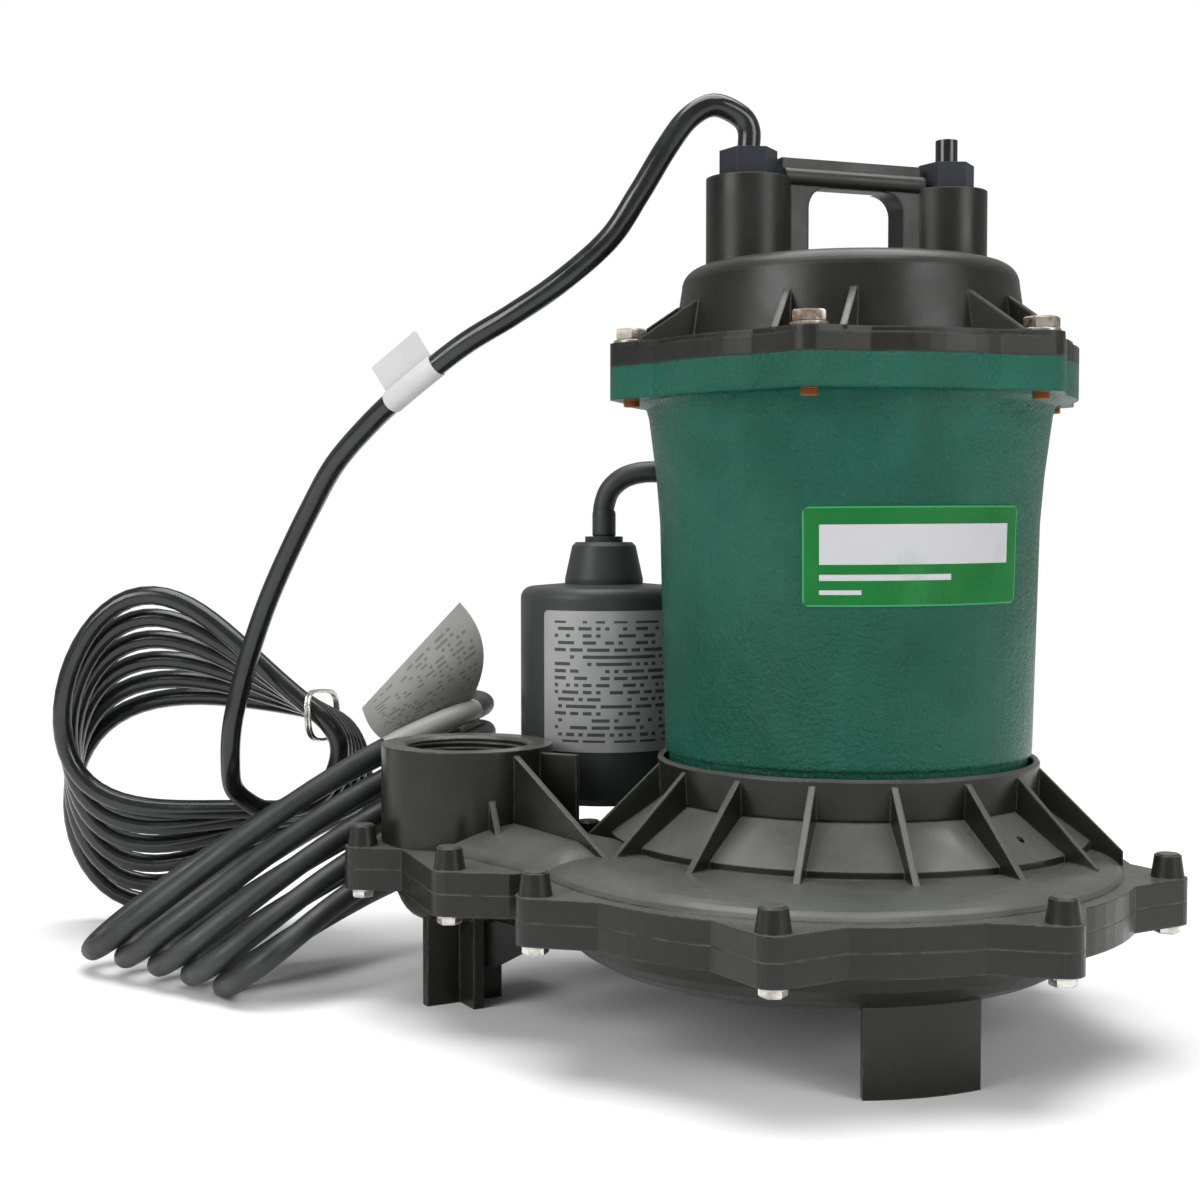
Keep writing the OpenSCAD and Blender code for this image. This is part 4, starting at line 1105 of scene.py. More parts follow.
def smoothed(points: Sequence[Point | Vector], spacing: float) -> list[Vector]:
    """Runs a smooth curve through points.

    Args:
        points: Points to pass through.
        spacing: Twice the distance between the points of the result.

    Returns:
        Points along the curve, with the same ends.
    """
    knots = [Vector(point) for point in points]
    knots = [2 * knots[0] - knots[1], *knots, 2 * knots[-1] - knots[-2]]
    fine: list[Vector] = []
    for a, b, c, d in zip(knots, knots[1:], knots[2:], knots[3:]):
        steps = max(2, int((c - b).length / spacing * 2))
        for k in range(steps):
            t = k / steps
            fine.append(0.5 * (2 * b + (c - a) * t + (2 * a - 5 * b + 4 * c - d) * t * t
                               + (3 * b - a - 3 * c + d) * t ** 3))
    fine.append(knots[-2].copy())
    return fine


@dataclass
class Cord:
    """One free cord from where it leaves the pump to its plug."""

    name: str
    slot: Slot
    solids: tuple[str, ...]
    diameter: float
    leave: Sequence[Point]
    loops: Loops
    away: Sequence[Point]
    lead_in: float
    lead_out: float
    sides: int = 16
    rings: int = 72
    spacing: float = 2.5

    def route(self) -> list[Vector]:
        """Centre line from end to end.

        Returns:
            The points.
        """
        loops = self.loops
        first, last = loops.at(0), loops.at(loops.turns)
        before = first - self.lead_in * loops.lead(0)
        after = last + self.lead_out * loops.lead(loops.turns - loops.STEP)
        line = smoothed([*self.leave, before, first], self.spacing)
        line += loops.line(self.rings)[1:]
        line += smoothed([last, after, *self.away], self.spacing)[1:]
        return line

    def make(self, material: bpy.types.Material,
             carried: Sequence[bpy.types.Object]) -> bpy.types.Object:
        """Args:
            material: Finish of the jacket.
            carried: Pieces on the cord; not used.

        Returns:
            The cord's object.
        """
        line = self.route()
        shape = Shape()
        shape.swept(line, self.diameter / 2, self.sides)
        piece = settle(shape.made(self.name, material, 50.0), Body.PUMP, self.slot, *self.solids)
        return piece


@dataclass
class Plug:
    """Moulded plug that lies on the floor and points along +X."""

    name: str
    slot: Slot
    back: Point
    cord_r: float
    grip_r: float
    body_l: float = 48.0
    body_sides: int = 48
    rib_count: int = 4
    rib_start: float = 2.6
    rib_pitch: float = 4.0
    rib_h: float = 2.8
    sunk: float = 0.5
    blade_l: float = 17.0
    blade_half_w: float = 3.2
    blade_half_t: float = 0.8
    blade_aside: float = 6.35
    blade_up: float = 4.0
    pin_down: float = 8.0
    pin_sides: int = 24

    # The grip's outline: how far inside its full radius, and how far along the plug.
    GRIP: ClassVar[tuple[Flat, ...]] = (
        (5.0, 24.0), (2.6, 28.5), (1.5, 32.0), (0.5, 34.5), (0.0, 36.5), (0.0, 46.6),
        (0.5, 47.6), (1.2, 48.0))
    # The earth pin's outline: radius, and how far along the pin.
    PIN: ClassVar[tuple[Flat, ...]] = (
        (2.4, 0.0), (2.4, 16.5), (2.1, 18.0), (1.3, 19.1), (TIP, 19.5))

    def body(self, material: bpy.types.Material) -> bpy.types.Object:
        """Builds the ribbed strain relief and the grip.

        Args:
            material: Finish of the moulding.

        Returns:
            The piece.
        """
        neck, rib = self.cord_r, self.cord_r + self.rib_h
        profile = [(TIP, 0.0), (neck + 1.0, 0.0), (neck + 1.4, 0.5)]
        for i in range(self.rib_count):
            low = self.rib_start + self.rib_pitch * i
            profile += [(neck + 1.5, low), (rib - 0.3, low + 0.3), (rib, low + 0.7),
                        (rib, low + 1.7), (rib - 0.3, low + 2.1), (neck + 1.6, low + 2.4)]
        profile.append((neck + 2.4, 20.0))
        profile += [(self.grip_r - inside, along) for inside, along in self.GRIP]
        profile.append((TIP, self.body_l))
        shape = Shape()
        shape.turned(profile, Vector(self.back), RIGHT, self.body_sides)
        piece = shape.made(f"{self.name}_body", material)
        return settle(piece, Body.PUMP, self.slot, self.name)

    def pins(self, material: bpy.types.Material) -> bpy.types.Object:
        """Builds two flat blades with rounded tips and the round earth pin.

        Args:
            material: Finish of the metal.

        Returns:
            The piece.
        """
        shape = Shape()
        face = Vector(self.back) + (self.body_l - self.sunk) * RIGHT
        reach, half = self.blade_l, self.blade_half_w
        edge = [(0.0, half), (reach - 1.6, half), (reach - 0.4, half - 0.7), (reach, half - 2.0)]
        outline = [(x, -z) for x, z in edge] + edge[::-1]
        for side in (-self.blade_aside, self.blade_aside):
            corners = [face + Vector((x, side - self.blade_half_t, self.blade_up + z))
                       for x, z in outline]
            shape.slab(corners, Vector((0.0, 2 * self.blade_half_t, 0.0)))
        shape.turned(self.PIN, face - self.pin_down * UP, RIGHT, self.pin_sides)
        return settle(shape.made(f"{self.name}_pins", material), Body.PUMP, Slot.ZINC)


@dataclass
class CordBand:
    """White label folded round the power cord, with its two ends stuck together."""

    along: Sequence[Point]
    cord_r: float
    middle: Point = (-127.0, 1.2, 240.7)
    flap_way: Point = (-0.6, 0.1, 0.8)
    flap_h: float = 11.5
    film_t: float = 0.35
    sleeve_t: float = 0.45
    spacing: float = 2.0
    reach: int = 12
    sides: int = 24

    def make(self, material: bpy.types.Material) -> bpy.types.Object:
        """Builds the sleeve round the cord and the flap that stands off it.

        Args:
            material: Finish of the film.

        Returns:
            The piece.
        """
        line = smoothed(self.along, self.spacing)
        middle = Vector(self.middle)
        nearest = min(range(len(line)), key=lambda i: (line[i] - middle).length)
        part = line[nearest - self.reach:nearest + self.reach + 1]
        shape = Shape()
        shape.swept(part, self.cord_r + self.sleeve_t, self.sides)
        start, end = part[0], part[-1]
        way = (end - start).normalized()
        out = Vector(self.flap_way)
        out = (out - out.dot(way) * way).normalized()
        side = way.cross(out).normalized() * self.film_t
        foot, top = self.cord_r * out, (self.cord_r + self.flap_h) * out
        corners = [start + foot, end + foot, end + top, start + top]
        shape.slab([corner + side for corner in corners], -2 * side)
        piece = shape.made("cord_band_film", material, 40.0)
        return settle(piece, Body.PUMP, Slot.PAPER, "cord_band")


@dataclass
class CoilTie:
    """Wire tie, wound twice round the coil's strands, with twisted ends."""

    coil: Loops
    cord_r: float
    place: float = 0.28
    wire_r: float = 0.75
    end_r: float = 0.7
    wire_sides: int = 8
    slack: float = 2.5
    half_thick: float = 11.0
    pitch: float = 1.5
    steps: int = 40
    squared: float = 0.55
    ends_way: Point = (0.0, -1.0, 0.35)
    ends_l: float = 14.0
    ends_r: float = 0.9
    ends_half_turns: int = 5
    ends_steps: int = 24

    def swelled(self, value: float) -> float:
        """A sine or cosine drawn towards 1 or -1, so that the loop is less round."""
        return math.copysign(abs(value) ** self.squared, value)

    def make(self, material: bpy.types.Material) -> bpy.types.Object:
        """Builds the winding and the two twisted ends.

        Args:
            material: Finish of the wire.

        Returns:
            The piece.
        """
        strands = self.coil.turns - 1
        first, last = self.coil.at(self.place), self.coil.at(self.place + strands)
        way = self.coil.lead(self.place + strands / 2)
        row = (last - first) - (last - first).dot(way) * way
        half_long = row.length / 2 + self.cord_r + self.slack
        row.normalize()
        across = way.cross(row).normalized()
        winding: list[Vector] = []
        for i in range(2 * self.steps + 1):
            turn = FULL_TURN * i / self.steps
            winding.append((first + last) / 2 + half_long * self.swelled(math.cos(turn)) * row
                           + self.half_thick * self.swelled(math.sin(turn)) * across
                           + self.pitch * (i / self.steps - 1) * way)
        shape = Shape()
        shape.swept(winding, self.wire_r, self.wire_sides)
        reach = self.ends_l * Vector(self.ends_way).normalized()
        for phase in (0.0, math.pi):
            twisted: list[Vector] = []
            for i in range(self.ends_steps + 1):
                share = i / self.ends_steps
                turn = phase + self.ends_half_turns * math.pi * share
                twisted.append(winding[0] - row + share * reach + self.ends_r
                               * (math.cos(turn) * across + math.sin(turn) * way))
            shape.swept(twisted, self.end_r, self.wire_sides)
        piece = shape.made("coil_tie_wire", material, 60.0)
        return settle(piece, Body.PUMP, Slot.WIRE, "cord_tie")


@dataclass
class HankTag:
    """Silver tag, folded round one strand of the hank and curled at one end.

    Each pair of points is one for the tag's first end and one for its second.
    """

    hank: Loops
    cord_r: float
    top: tuple[Point, Point] = ((-163.1, 58.0, 111.1), (-127.8, 88.0, 154.2))
    foot: tuple[Point, Point] = ((-156.0, 60.5, 98.5), (-124.5, 92.5, 110.8))
    curl: tuple[Point, Point] = ((-1.0, -2.0, -2.0), (17.0, -4.0, 3.0))
    curl_power: float = 0.6
    wave: Point = (0.4, -0.7, 0.3)
    wave_h: float = 1.2
    wave_turn: float = 5.2
    wave_start: float = 0.6
    film_t: float = 0.3
    sleeve_t: float = 0.35
    sleeve_from: float = 4.738
    sleeve_turns: float = 0.112
    sleeve_steps: int = 14
    sleeve_sides: int = 24
    sleeve_flat: Flat = (0.02, 0.02)
    columns: int = 28
    rows: int = 14

    @staticmethod
    def blend(pair: tuple[Point, Point], share: float) -> Vector:
        """Point between two others."""
        return Vector(pair[0]).lerp(Vector(pair[1]), share)

    def point(self, u: float, v: float) -> Vector:
        """Point on the front of the tag.

        Args:
            u: Share of its length.
            v: Share of its height.

        Returns:
            The point.
        """
        bulge = 2 * v * (1 - v) * self.blend(self.curl, u ** self.curl_power)
        wave = self.wave_h * math.sin(self.wave_turn * u + self.wave_start) * v
        return (self.blend(self.foot, u).lerp(self.blend(self.top, u), v) + bulge
                + wave * Vector(self.wave))

    def make(self, material: bpy.types.Material) -> bpy.types.Object:
        """Builds the tag and its fold round the cord.

        Args:
            material: Finish of the film.

        Returns:
            The piece.
        """
        flat = [(i / self.columns, j / self.rows)
                for j in range(self.rows + 1) for i in range(self.columns + 1)]
        front = [self.point(u, v) for u, v in flat]
        up, along = front[self.columns + 1] - front[0], front[1] - front[0]
        behind = up.cross(along).normalized() * self.film_t
        shape = Shape()
        shape.join([*front, *(point + behind for point in front)],
                   film_faces(self.columns, self.rows))
        strand = [self.hank.at(self.sleeve_from + self.sleeve_turns * i / self.sleeve_steps)
                  for i in range(self.sleeve_steps + 1)]
        shape.swept(strand, self.cord_r + self.sleeve_t, self.sleeve_sides)
        flat += flat
        flat += [self.sleeve_flat] * (len(shape.vertices) - len(flat))
        piece = shape.made("hank_tag_film", material, 50.0)
        lay_flat(piece, flat)
        return settle(piece, Body.PUMP, Slot.FOIL)


@dataclass
class CordRoot:
    """Sleeve where the float's cord leaves the neck."""

    leaves_at: Point
    cord_r: float
    below: float = 7.6
    bend_from: float = 0.6
    rows: int = 12
    row_pitch: float = 0.8
    sides: int = 32

    def make(self, material: bpy.types.Material) -> bpy.types.Object:
        """Builds the sleeve.

        Args:
            material: Finish of the cord's jacket.

        Returns:
            The piece.
        """
        x, y, top = self.leaves_at
        low, bare = top - self.below, self.cord_r
        profile = [(TIP, 0.0), (bare + 0.25, 0.0)]
        profile += [(bare + 0.45, 0.5 + self.row_pitch * i) for i in range(self.rows)]
        profile += [(bare + 0.2, 10.6), (TIP, 10.8)]
        shape = Shape()
        shape.turned(profile, Vector((x, y, low)), UP, self.sides)
        piece = shape.made("float_cord_root", material, 50.0)
        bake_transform(piece)
        LOG.info("piece %s bends from %s to %s", piece.name, Body.FLOAT.value, Body.PUMP.value)
        return piece


@dataclass
class Cords:
    """Both cords with their plugs, band, tie, tag and sleeve."""

    finishes: Finishes
    power_d: float = 8.4
    float_d: float = 9.0
    power_grip_r: float = 13.0
    float_grip_r: float = 15.5

    GLAND: ClassVar[Point] = (-0.3, 2.0, 325.0)
    FLOAT_EXIT: ClassVar[Point] = (*FLOAT_AXIS, 190.1)
    COIL: ClassVar[Loops] = Loops(
        turns=6, start=228, way=-1, tip=(-303, 86, 133), tip_step=(-4, 9.6, -16),
        near=(-186, 94, 78), near_step=(0, 9.6, -0.5), middle=(-232, 90, 97),
        middle_step=(0, 9.6, -4.6), widths=(82, 34, 34), stack=(0, 1, 0))
    HANK: ClassVar[Loops] = Loops(
        turns=5, start=200, way=1, tip=(-192, -4, 8.5), tip_step=(-19, 11, 0.2),
        near=(-124, 117, 46), near_step=(-0.5, 2, 12.5), middle=(-162.5, 51, 30),
        middle_step=(-4, 3.6, 11), widths=(44, 17, 48), stack=(-0.62, -0.25, 0.74))
    POWER_LEAVE: ClassVar[list[Point]] = [
        GLAND, (-0.3, 2.0, 333.0), (-4, 0.5, 338), (-13, -3, 341), (-22, -5, 336), (-30, -7, 325),
        (-40, -9, 308), (-51, -9, 292), (-69, -10, 276.5), (-87, -9, 265), (-106.6, -5, 254.4),
        (-129.3, 2, 239), (-146.5, 14, 227.5), (-165.3, 28, 211.6), (-179.3, 40, 193.9),
        (-192, 50, 175), (-202.7, 57, 156.2), (-211.3, 62, 137.1), (-218, 65, 118),
        (-222, 66, 102), (-224, 69, 87), (-225, 76, 74), (-220, 85, 65.5)]
    BANDED: ClassVar[slice] = slice(9, 15)
    POWER_AWAY: ClassVar[list[Point]] = [
        (-168, 148, 62), (-154, 149, 52), (-138, 149, 39), (-118, 148, 28), (-96, 147, 18),
        (-74, 146, 13), (-56, 146, 13), (-48, 146, 13)]
    FLOAT_LEAVE: ClassVar[list[Point]] = [
        FLOAT_EXIT, (-65.4, 86.9, 195.1), (-62.5, 87, 202.5), (-55, 87, 208), (-43, 88, 209.5),
        (-30, 93, 206), (-17, 102, 195), (-8, 112, 177), (-4, 121, 150), (-4, 128, 120),
        (-6, 131, 92), (-14, 133, 68), (-28, 134, 50), (-47, 134, 38), (-69, 133, 34),
        (-92, 130, 38), (-110, 126, 43)]
    FLOAT_AWAY: ClassVar[list[Point]] = [
        (-155, 151, 98), (-159, 161, 82), (-155, 168, 62), (-144, 171, 40), (-126, 173, 21),
        (-102, 175, 9), (-74, 176, 5), (-42, 176, 5), (-16, 175, 9), (2, 174, 15.5),
        (12, 174, 15.5)]

    def make(self) -> None:
        """Builds every piece of both cords."""
        made = self.finishes
        power_r, float_r = self.power_d / 2, self.float_d / 2
        CordRoot(self.FLOAT_EXIT, float_r).make(made.float_cord)
        plug = Plug("power_plug", Slot.CORD, self.POWER_AWAY[-1], power_r, self.power_grip_r)
        on_power = [plug.body(made.cord), plug.pins(made.blade),
                    CordBand(self.POWER_LEAVE[self.BANDED], power_r).make(made.paper),
                    CoilTie(self.COIL, power_r).make(made.zinc)]
        plug = Plug("float_plug", Slot.FLOAT_CORD, self.FLOAT_AWAY[-1], float_r,
                    self.float_grip_r)
        on_float = [plug.body(made.float_cord), plug.pins(made.blade),
                    HankTag(self.HANK, float_r).make(made.tag)]
        Cord("power_cord_jacket", Slot.CORD, ("power_cord", "power_coil", "power_cord_end"),
             self.power_d, self.POWER_LEAVE, self.COIL, self.POWER_AWAY,
             lead_in=7.0, lead_out=8.0).make(made.cord, on_power)
        Cord("float_cord_jacket", Slot.FLOAT_CORD, ("float_cord", "float_hank", "float_cord_end"),
             self.float_d, self.FLOAT_LEAVE, self.HANK, self.FLOAT_AWAY,
             lead_in=9.0, lead_out=9.0).make(made.float_cord, on_float)


# ---------------------------------------------------------------- fasteners
def hex_corner(flats: float) -> float:
    """Radius to the corners of a hexagon from its width across the flats."""
    return flats / 2 / math.cos(math.pi / 6)


@dataclass
class CoverBolts:
    """Hex bolts with washers through the cover and the housing's flange."""

    count: int = 6
    circle: float = 84.6
    turn: float = -98.8
    top: float = 253.6
    tip: float = 230.5
    flats: float = 11.1
    head_top: float = 5.4
    washer_r: float = 6.6
    washer_t: float = 1.2
    washer_sides: int = 40
    shank_r: float = 3.17
    shank_sides: int = 24
    thread_pitch: float = 0.7
    thread_depth: float = 0.45
    thread_count: int = 4
    spin: float = 0.5
    spin_step: float = 1.7

    def washer(self) -> list[Flat]:
        """Outline of a washer."""
        r, t = self.washer_r, self.washer_t
        return [(TIP, 0.0), (r - 0.2, 0.0), (r, 0.2), (r, t - 0.25), (r - 0.25, t), (TIP, t)]

    def head(self) -> list[Flat]:
        """Outline of a head, with a rounded foot and a chamfered top.

        Returns:
            Pairs of radius and height.
        """
        r, low, top = hex_corner(self.flats), self.washer_t, self.head_top
        return [(TIP, low), (r - 0.5, low), (r - 0.1, low + 0.4), (r, low + 0.7),
                (r, top - 0.7), (r - 0.75, top - 0.05), (TIP, top)]

    def threads(self) -> list[Flat]:
        """Outline of the threaded tip.

        Returns:
            Pairs of radius and height.
        """
        outline = [(TIP, 0.0), (self.shank_r - 0.6, 0.0)]
        for i in range(self.thread_count):
            height = 0.4 + self.thread_pitch * i
            outline += [(self.shank_r, height),
                        (self.shank_r - self.thread_depth, height + self.thread_pitch / 2)]
        return [*outline, (TIP, 3.0)]

    def make(self, material: bpy.types.Material) -> bpy.types.Object:
        """Builds all bolts as one piece.

        Args:
            material: Their finish.

        Returns:
            The piece.
        """
        shape = Shape()
        for i in range(self.count):
            turn = math.radians(self.turn + 360 * i / self.count)
            at = Vector((*MOTOR_AXIS, 0.0))
            at += self.circle * Vector((math.cos(turn), math.sin(turn), 0.0))
            base = at + self.top * UP
            shape.turned(self.washer(), base, UP, self.washer_sides)
            shape.turned(self.head(), base, UP, 6, self.spin + self.spin_step * i)
            shape.turned(self.threads(), at + self.tip * UP, UP, self.shank_sides)
        piece = shape.made("cover_bolts_hex", material, 25.0)
        return settle(piece, Body.PUMP, Slot.BOLT, "cover_bolts")


@dataclass
class VoluteScrews:
    """Hex washer-head screws with dished heads under the volute's flange."""

    under: float = 46.3
    flats: float = 8.0
    washer_r: float = 4.8
    washer_t: float = 1.1
    washer_sides: int = 32
    head_low: float = 0.9
    head_top: float = 3.7
    dish: float = 0.4
    spin: float = 0.3
    spin_step: float = 0.9

    # Centre from the motor's axis, radius, and the turns at which screws stand.
    CIRCLES: ClassVar[tuple[tuple[Flat, float, tuple[float, ...]], ...]] = (
        ((-8.0, -22.0), 122.0, (38.5, -6.5, -51.5, -96.5, -141.5)),
        ((0.0, 0.0), 101.0, (84.0, 128.0, 175.0)),
        ((-149.3, 9.0), 42.8, (-150.0, 75.0)),
        ((-8.0, -22.0), 138.5, (-166.0,)))

    def places(self) -> list[Vector]:
        """Where the screws' heads meet the flange.

        Returns:
            The points.
        """
        middle = Vector((*MOTOR_AXIS, self.under))
        return [middle + Vector((x + radius * math.cos(math.radians(turn)),
                                 y + radius * math.sin(math.radians(turn)), 0.0))
                for (x, y), radius, turns in self.CIRCLES for turn in turns]

    def make(self, material: bpy.types.Material) -> bpy.types.Object:
        """Builds all screw heads as one piece.

        Args:
            material: Their finish.

        Returns:
            The piece.
        """
        corner, low, top = hex_corner(self.flats), self.head_low, self.head_top
        washer = [(TIP, 0.0), (self.washer_r, 0.0), (self.washer_r, 0.6),
                  (self.washer_r - 0.3, 0.95), (corner - 0.1, self.washer_t),
                  (TIP, self.washer_t)]
        head = [(TIP, low), (corner, low), (corner, top - 0.7), (corner - 0.5, top - 0.1),
                (corner - 1.3, top), (corner - 1.5, top - self.dish), (TIP, top - self.dish)]
        shape = Shape()
        for number, place in enumerate(self.places()):
            shape.turned(washer, place, -UP, self.washer_sides)
            shape.turned(head, place, -UP, 6, self.spin + self.spin_step * number)
        piece = shape.made("volute_screws_hex", material, 25.0)
        return settle(piece, Body.PUMP, Slot.ZINC, "volute_screws")


@dataclass
class PipeThread:
    """Inside thread of the discharge socket."""

    low: float = 77.2
    high: float = 98.6
    bore_r: float = 24.2
    pitch: float = 2.2
    depth: float = 0.75
    root: float = 0.1
    root_share: float = 0.42
    crest_share: float = 0.08
    steps: int = 72
    fade_steps: int = 40

    def make(self, material: bpy.types.Material) -> bpy.types.Object:
        """Builds the thread as a ribbon that winds up the bore.

        Args:
            material: Finish of the socket.

        Returns:
            The piece.
        """
        total = int((self.high - self.low) / self.pitch * self.steps)
        outer = self.bore_r + self.root
        points: list[Vector] = []
        for i in range(total + 1):
            turn = FULL_TURN * i / self.steps
            way = Vector((math.cos(turn), math.sin(turn), 0.0))
            centre = Vector((*SOCKET_AXIS, self.low + self.pitch * i / self.steps))
            fade = min(1.0, i / self.fade_steps, (total - i) / self.fade_steps)
            crest = self.bore_r - self.depth * fade
            for radius, lift in ((outer, -self.root_share), (crest, -self.crest_share),
                                 (crest, self.crest_share), (outer, self.root_share)):
                points.append(centre + radius * way + lift * self.pitch * UP)
        shape = Shape()
        shape.join(points, grid_faces(3, total))
        piece = shape.made("socket_thread", material, 50.0)
        return settle(piece, Body.PUMP, Slot.VOLUTE)


@dataclass
class ThroatFairing:
    """Rounded roof of the water passage between the socket and the casing."""

    way: float = -42.0
    start_r: float = 31.0
    length: float = 97.0
    level: float = 77.0
    front_half: float = 27.5
    back_half: float = 22.0
    low: float = 62.4
    crown: float = 73.1
    end_z: float = 68.2
    shoulder: float = 0.75
    columns: int = 36
    rows: int = 40

    def height(self, along: float, aside: float) -> float:
        """Height of the roof.

        Args:
            along: Distance from the socket's axis towards the casing.
            aside: Distance from the middle line, positive at the back.

        Returns:
            The height.
        """
        share = min(1.0, max(0.0, (along - self.level) / (self.length - self.level)))
        top = self.crown + (self.end_z - self.crown) * share * share * (3 - 2 * share)
        half = self.back_half if aside > 0 else self.front_half
        return self.low + (top - self.low) * max(0.0, 1 - (aside / half) ** 2) ** self.shoulder

    def make(self, material: bpy.types.Material) -> bpy.types.Object:
        """Builds the roof as a curved sheet.

        Args:
            material: Finish of the volute.

        Returns:
            The piece.
        """
        turn = math.radians(self.way)
        along_way = Vector((math.cos(turn), math.sin(turn), 0.0))
        aside_way = UP.cross(along_way)
        centre = Vector((*SOCKET_AXIS, 0.0))
        points: list[Vector] = []
        for j in range(self.rows + 1):
            for i in range(self.columns + 1):
                swing = math.pi * i / self.columns
                half = self.back_half if swing < math.pi / 2 else self.front_half
                aside = half * math.cos(swing)
                first = math.sqrt(self.start_r ** 2 - aside ** 2)
                along = first + (self.length - first) * j / self.rows
                points.append(centre + along * along_way + aside * aside_way
                              + self.height(along, aside) * UP)
        shape = Shape()
        shape.join(points, grid_faces(self.columns, self.rows))
        piece = shape.made("throat_roof", material, 60.0)
        return settle(piece, Body.PUMP, Slot.VOLUTE)


# ---------------------------------------------------------------- labels
@dataclass
class WrappedLabel:
    """Thin label that wraps a round wall, with rounded corners.

    The wall is given by pairs of height and radius, and the turns are in degrees.
    """

    name: str
    axis: Flat
    wall: Sequence[Flat]
    from_turn: float
    to_turn: float
    low: float
    high: float
    corner: float
    lean: float = 0.0
    thick: float = 0.25
    gap: float = 0.06
    columns: int = 60
    middle_rows: int = 8
    corner_rows: int = 6

    def radius_at(self, z: float) -> float:
        """Radius of the wall at a height.

        Args:
            z: The height.

        Returns:
            The radius.
        """
        for (z_a, r_a), (z_b, r_b) in zip(self.wall, self.wall[1:]):
            if z_a <= z <= z_b:
                return r_a + (r_b - r_a) * (z - z_a) / (z_b - z_a)
        return self.wall[0][1] if z < self.wall[0][0] else self.wall[-1][1]

    def inset(self, y: float) -> float:
        """How far the outline draws in for a round corner.

        Args:
            y: Height above the label's lower edge.

        Returns:
            The inset.
        """
        near = min(y, self.high - self.low - y)
        if near >= self.corner:
            return 0.0
        return self.corner - math.sqrt(max(0.0, self.corner ** 2 - (self.corner - near) ** 2))

    def shares(self) -> list[float]:
        """Shares of the height at which rows of points lie, closer at the corners.

        Returns:
            The shares, from 0 to 1.
        """
        end = self.corner / (self.high - self.low)
        step = math.pi / 2 / self.corner_rows
        bend = [end * (1 - math.cos(step * k)) for k in range(self.corner_rows)]
        middle = [end + (1 - 2 * end) * k / self.middle_rows for k in range(self.middle_rows + 1)]
        return bend + middle + [1 - share for share in reversed(bend)]

    def make(self, material: bpy.types.Material, body: Body, slot: Slot,
             node: str) -> bpy.types.Object:
        """Builds the label.

        Args:
            material: Its finish.
            body: Body that it moves with.
            slot: Record slot of its finish.
            node: Solid that it replaces.

        Returns:
            The piece.
        """
        height = self.high - self.low
        middle_r = self.radius_at((self.low + self.high) / 2)
        width = math.radians(self.to_turn - self.from_turn) * middle_r
        shares = self.shares()
        points: list[Point] = []
        flat: list[Flat] = []
        for lift in (self.gap + self.thick, self.gap):
            for v in shares:
                inset = self.inset(v * height)
                for i in range(self.columns + 1):
                    x = inset + i / self.columns * (width - 2 * inset)
                    z = self.low + v * height + self.lean * (x / width - 0.5)
                    turn = math.radians(self.from_turn) + x / middle_r
                    r = self.radius_at(z) + lift
                    points.append((self.axis[0] + r * math.cos(turn),
                                   self.axis[1] + r * math.sin(turn), z))
                    flat.append((x / width, v))
        shape = Shape()
        shape.join(points, film_faces(self.columns, len(shares) - 1))
        piece = shape.made(self.name, material, 60.0)
        lay_flat(piece, flat)
        return settle(piece, body, slot, node)


# ---------------------------------------------------------------- dressing
class Dresser:
    """Gives every carried-over solid its finish."""

    def __init__(self, finishes: Finishes) -> None:
        """Lists the finish of each solid.

        Args:
            finishes: Finishes of the pump.
        """
        f = finishes
        self.by_node = {
            "top_cover": f.cover, "cover_seal": f.rubber, "cord_gland": f.gland,
            "plug_gland": f.gland, "blank_plug": f.cord, "cord_bushings": f.rubber,
            "motor_housing": f.paint, "stator": f.iron, "stator_windings": f.copper,
            "capacitor": f.can, "upper_bearing": f.shaft, "bearing_bracket": f.casting,
            "lower_bearing": f.shaft, "shaft_seal": f.rubber, "shaft": f.shaft,
            "rotor_core": f.iron, "impeller": f.impeller, "impeller_nut": f.zinc,
            "volute_top": f.volute, "foot_seal": f.rubber, "housing_screws": f.zinc,
            "volute_seal": f.rubber, "volute_bottom": f.volute, "volute_screws": f.zinc,
            "cover_bolts": f.bolt, "float_body": f.float_shell, "float_neck": f.float_shell,
            "float_tether": f.float_cord, "housing_label": f.sticker, "float_label": f.foil,
            "power_cord": f.cord, "power_coil": f.cord, "power_cord_end": f.cord,
            "power_plug": f.cord, "float_cord": f.float_cord, "float_hank": f.float_cord,
            "float_cord_end": f.float_cord, "float_plug": f.float_cord, "cord_tie": f.zinc,
            "cord_band": f.paper}

    def dress(self, nodes: dict[str, bpy.types.Object]) -> None:
        """Puts the finishes on the solids.

        Args:
            nodes: Solids by name.
        """
        for name, solid in nodes.items():
            material, worn = self.by_node[name], solid.data.materials
            if len(worn) == 0:
                worn.append(material)
            for index in range(len(worn)):
                worn[index] = material
            LOG.info("solid %s takes %s", name, material.name)


# ---------------------------------------------------------------- studio
@dataclass(frozen=True)
class Lamp:
    """Soft square lamp: where it stands, its side in metres and its watts."""

    name: str
    place: Point
    side: float
    power: float


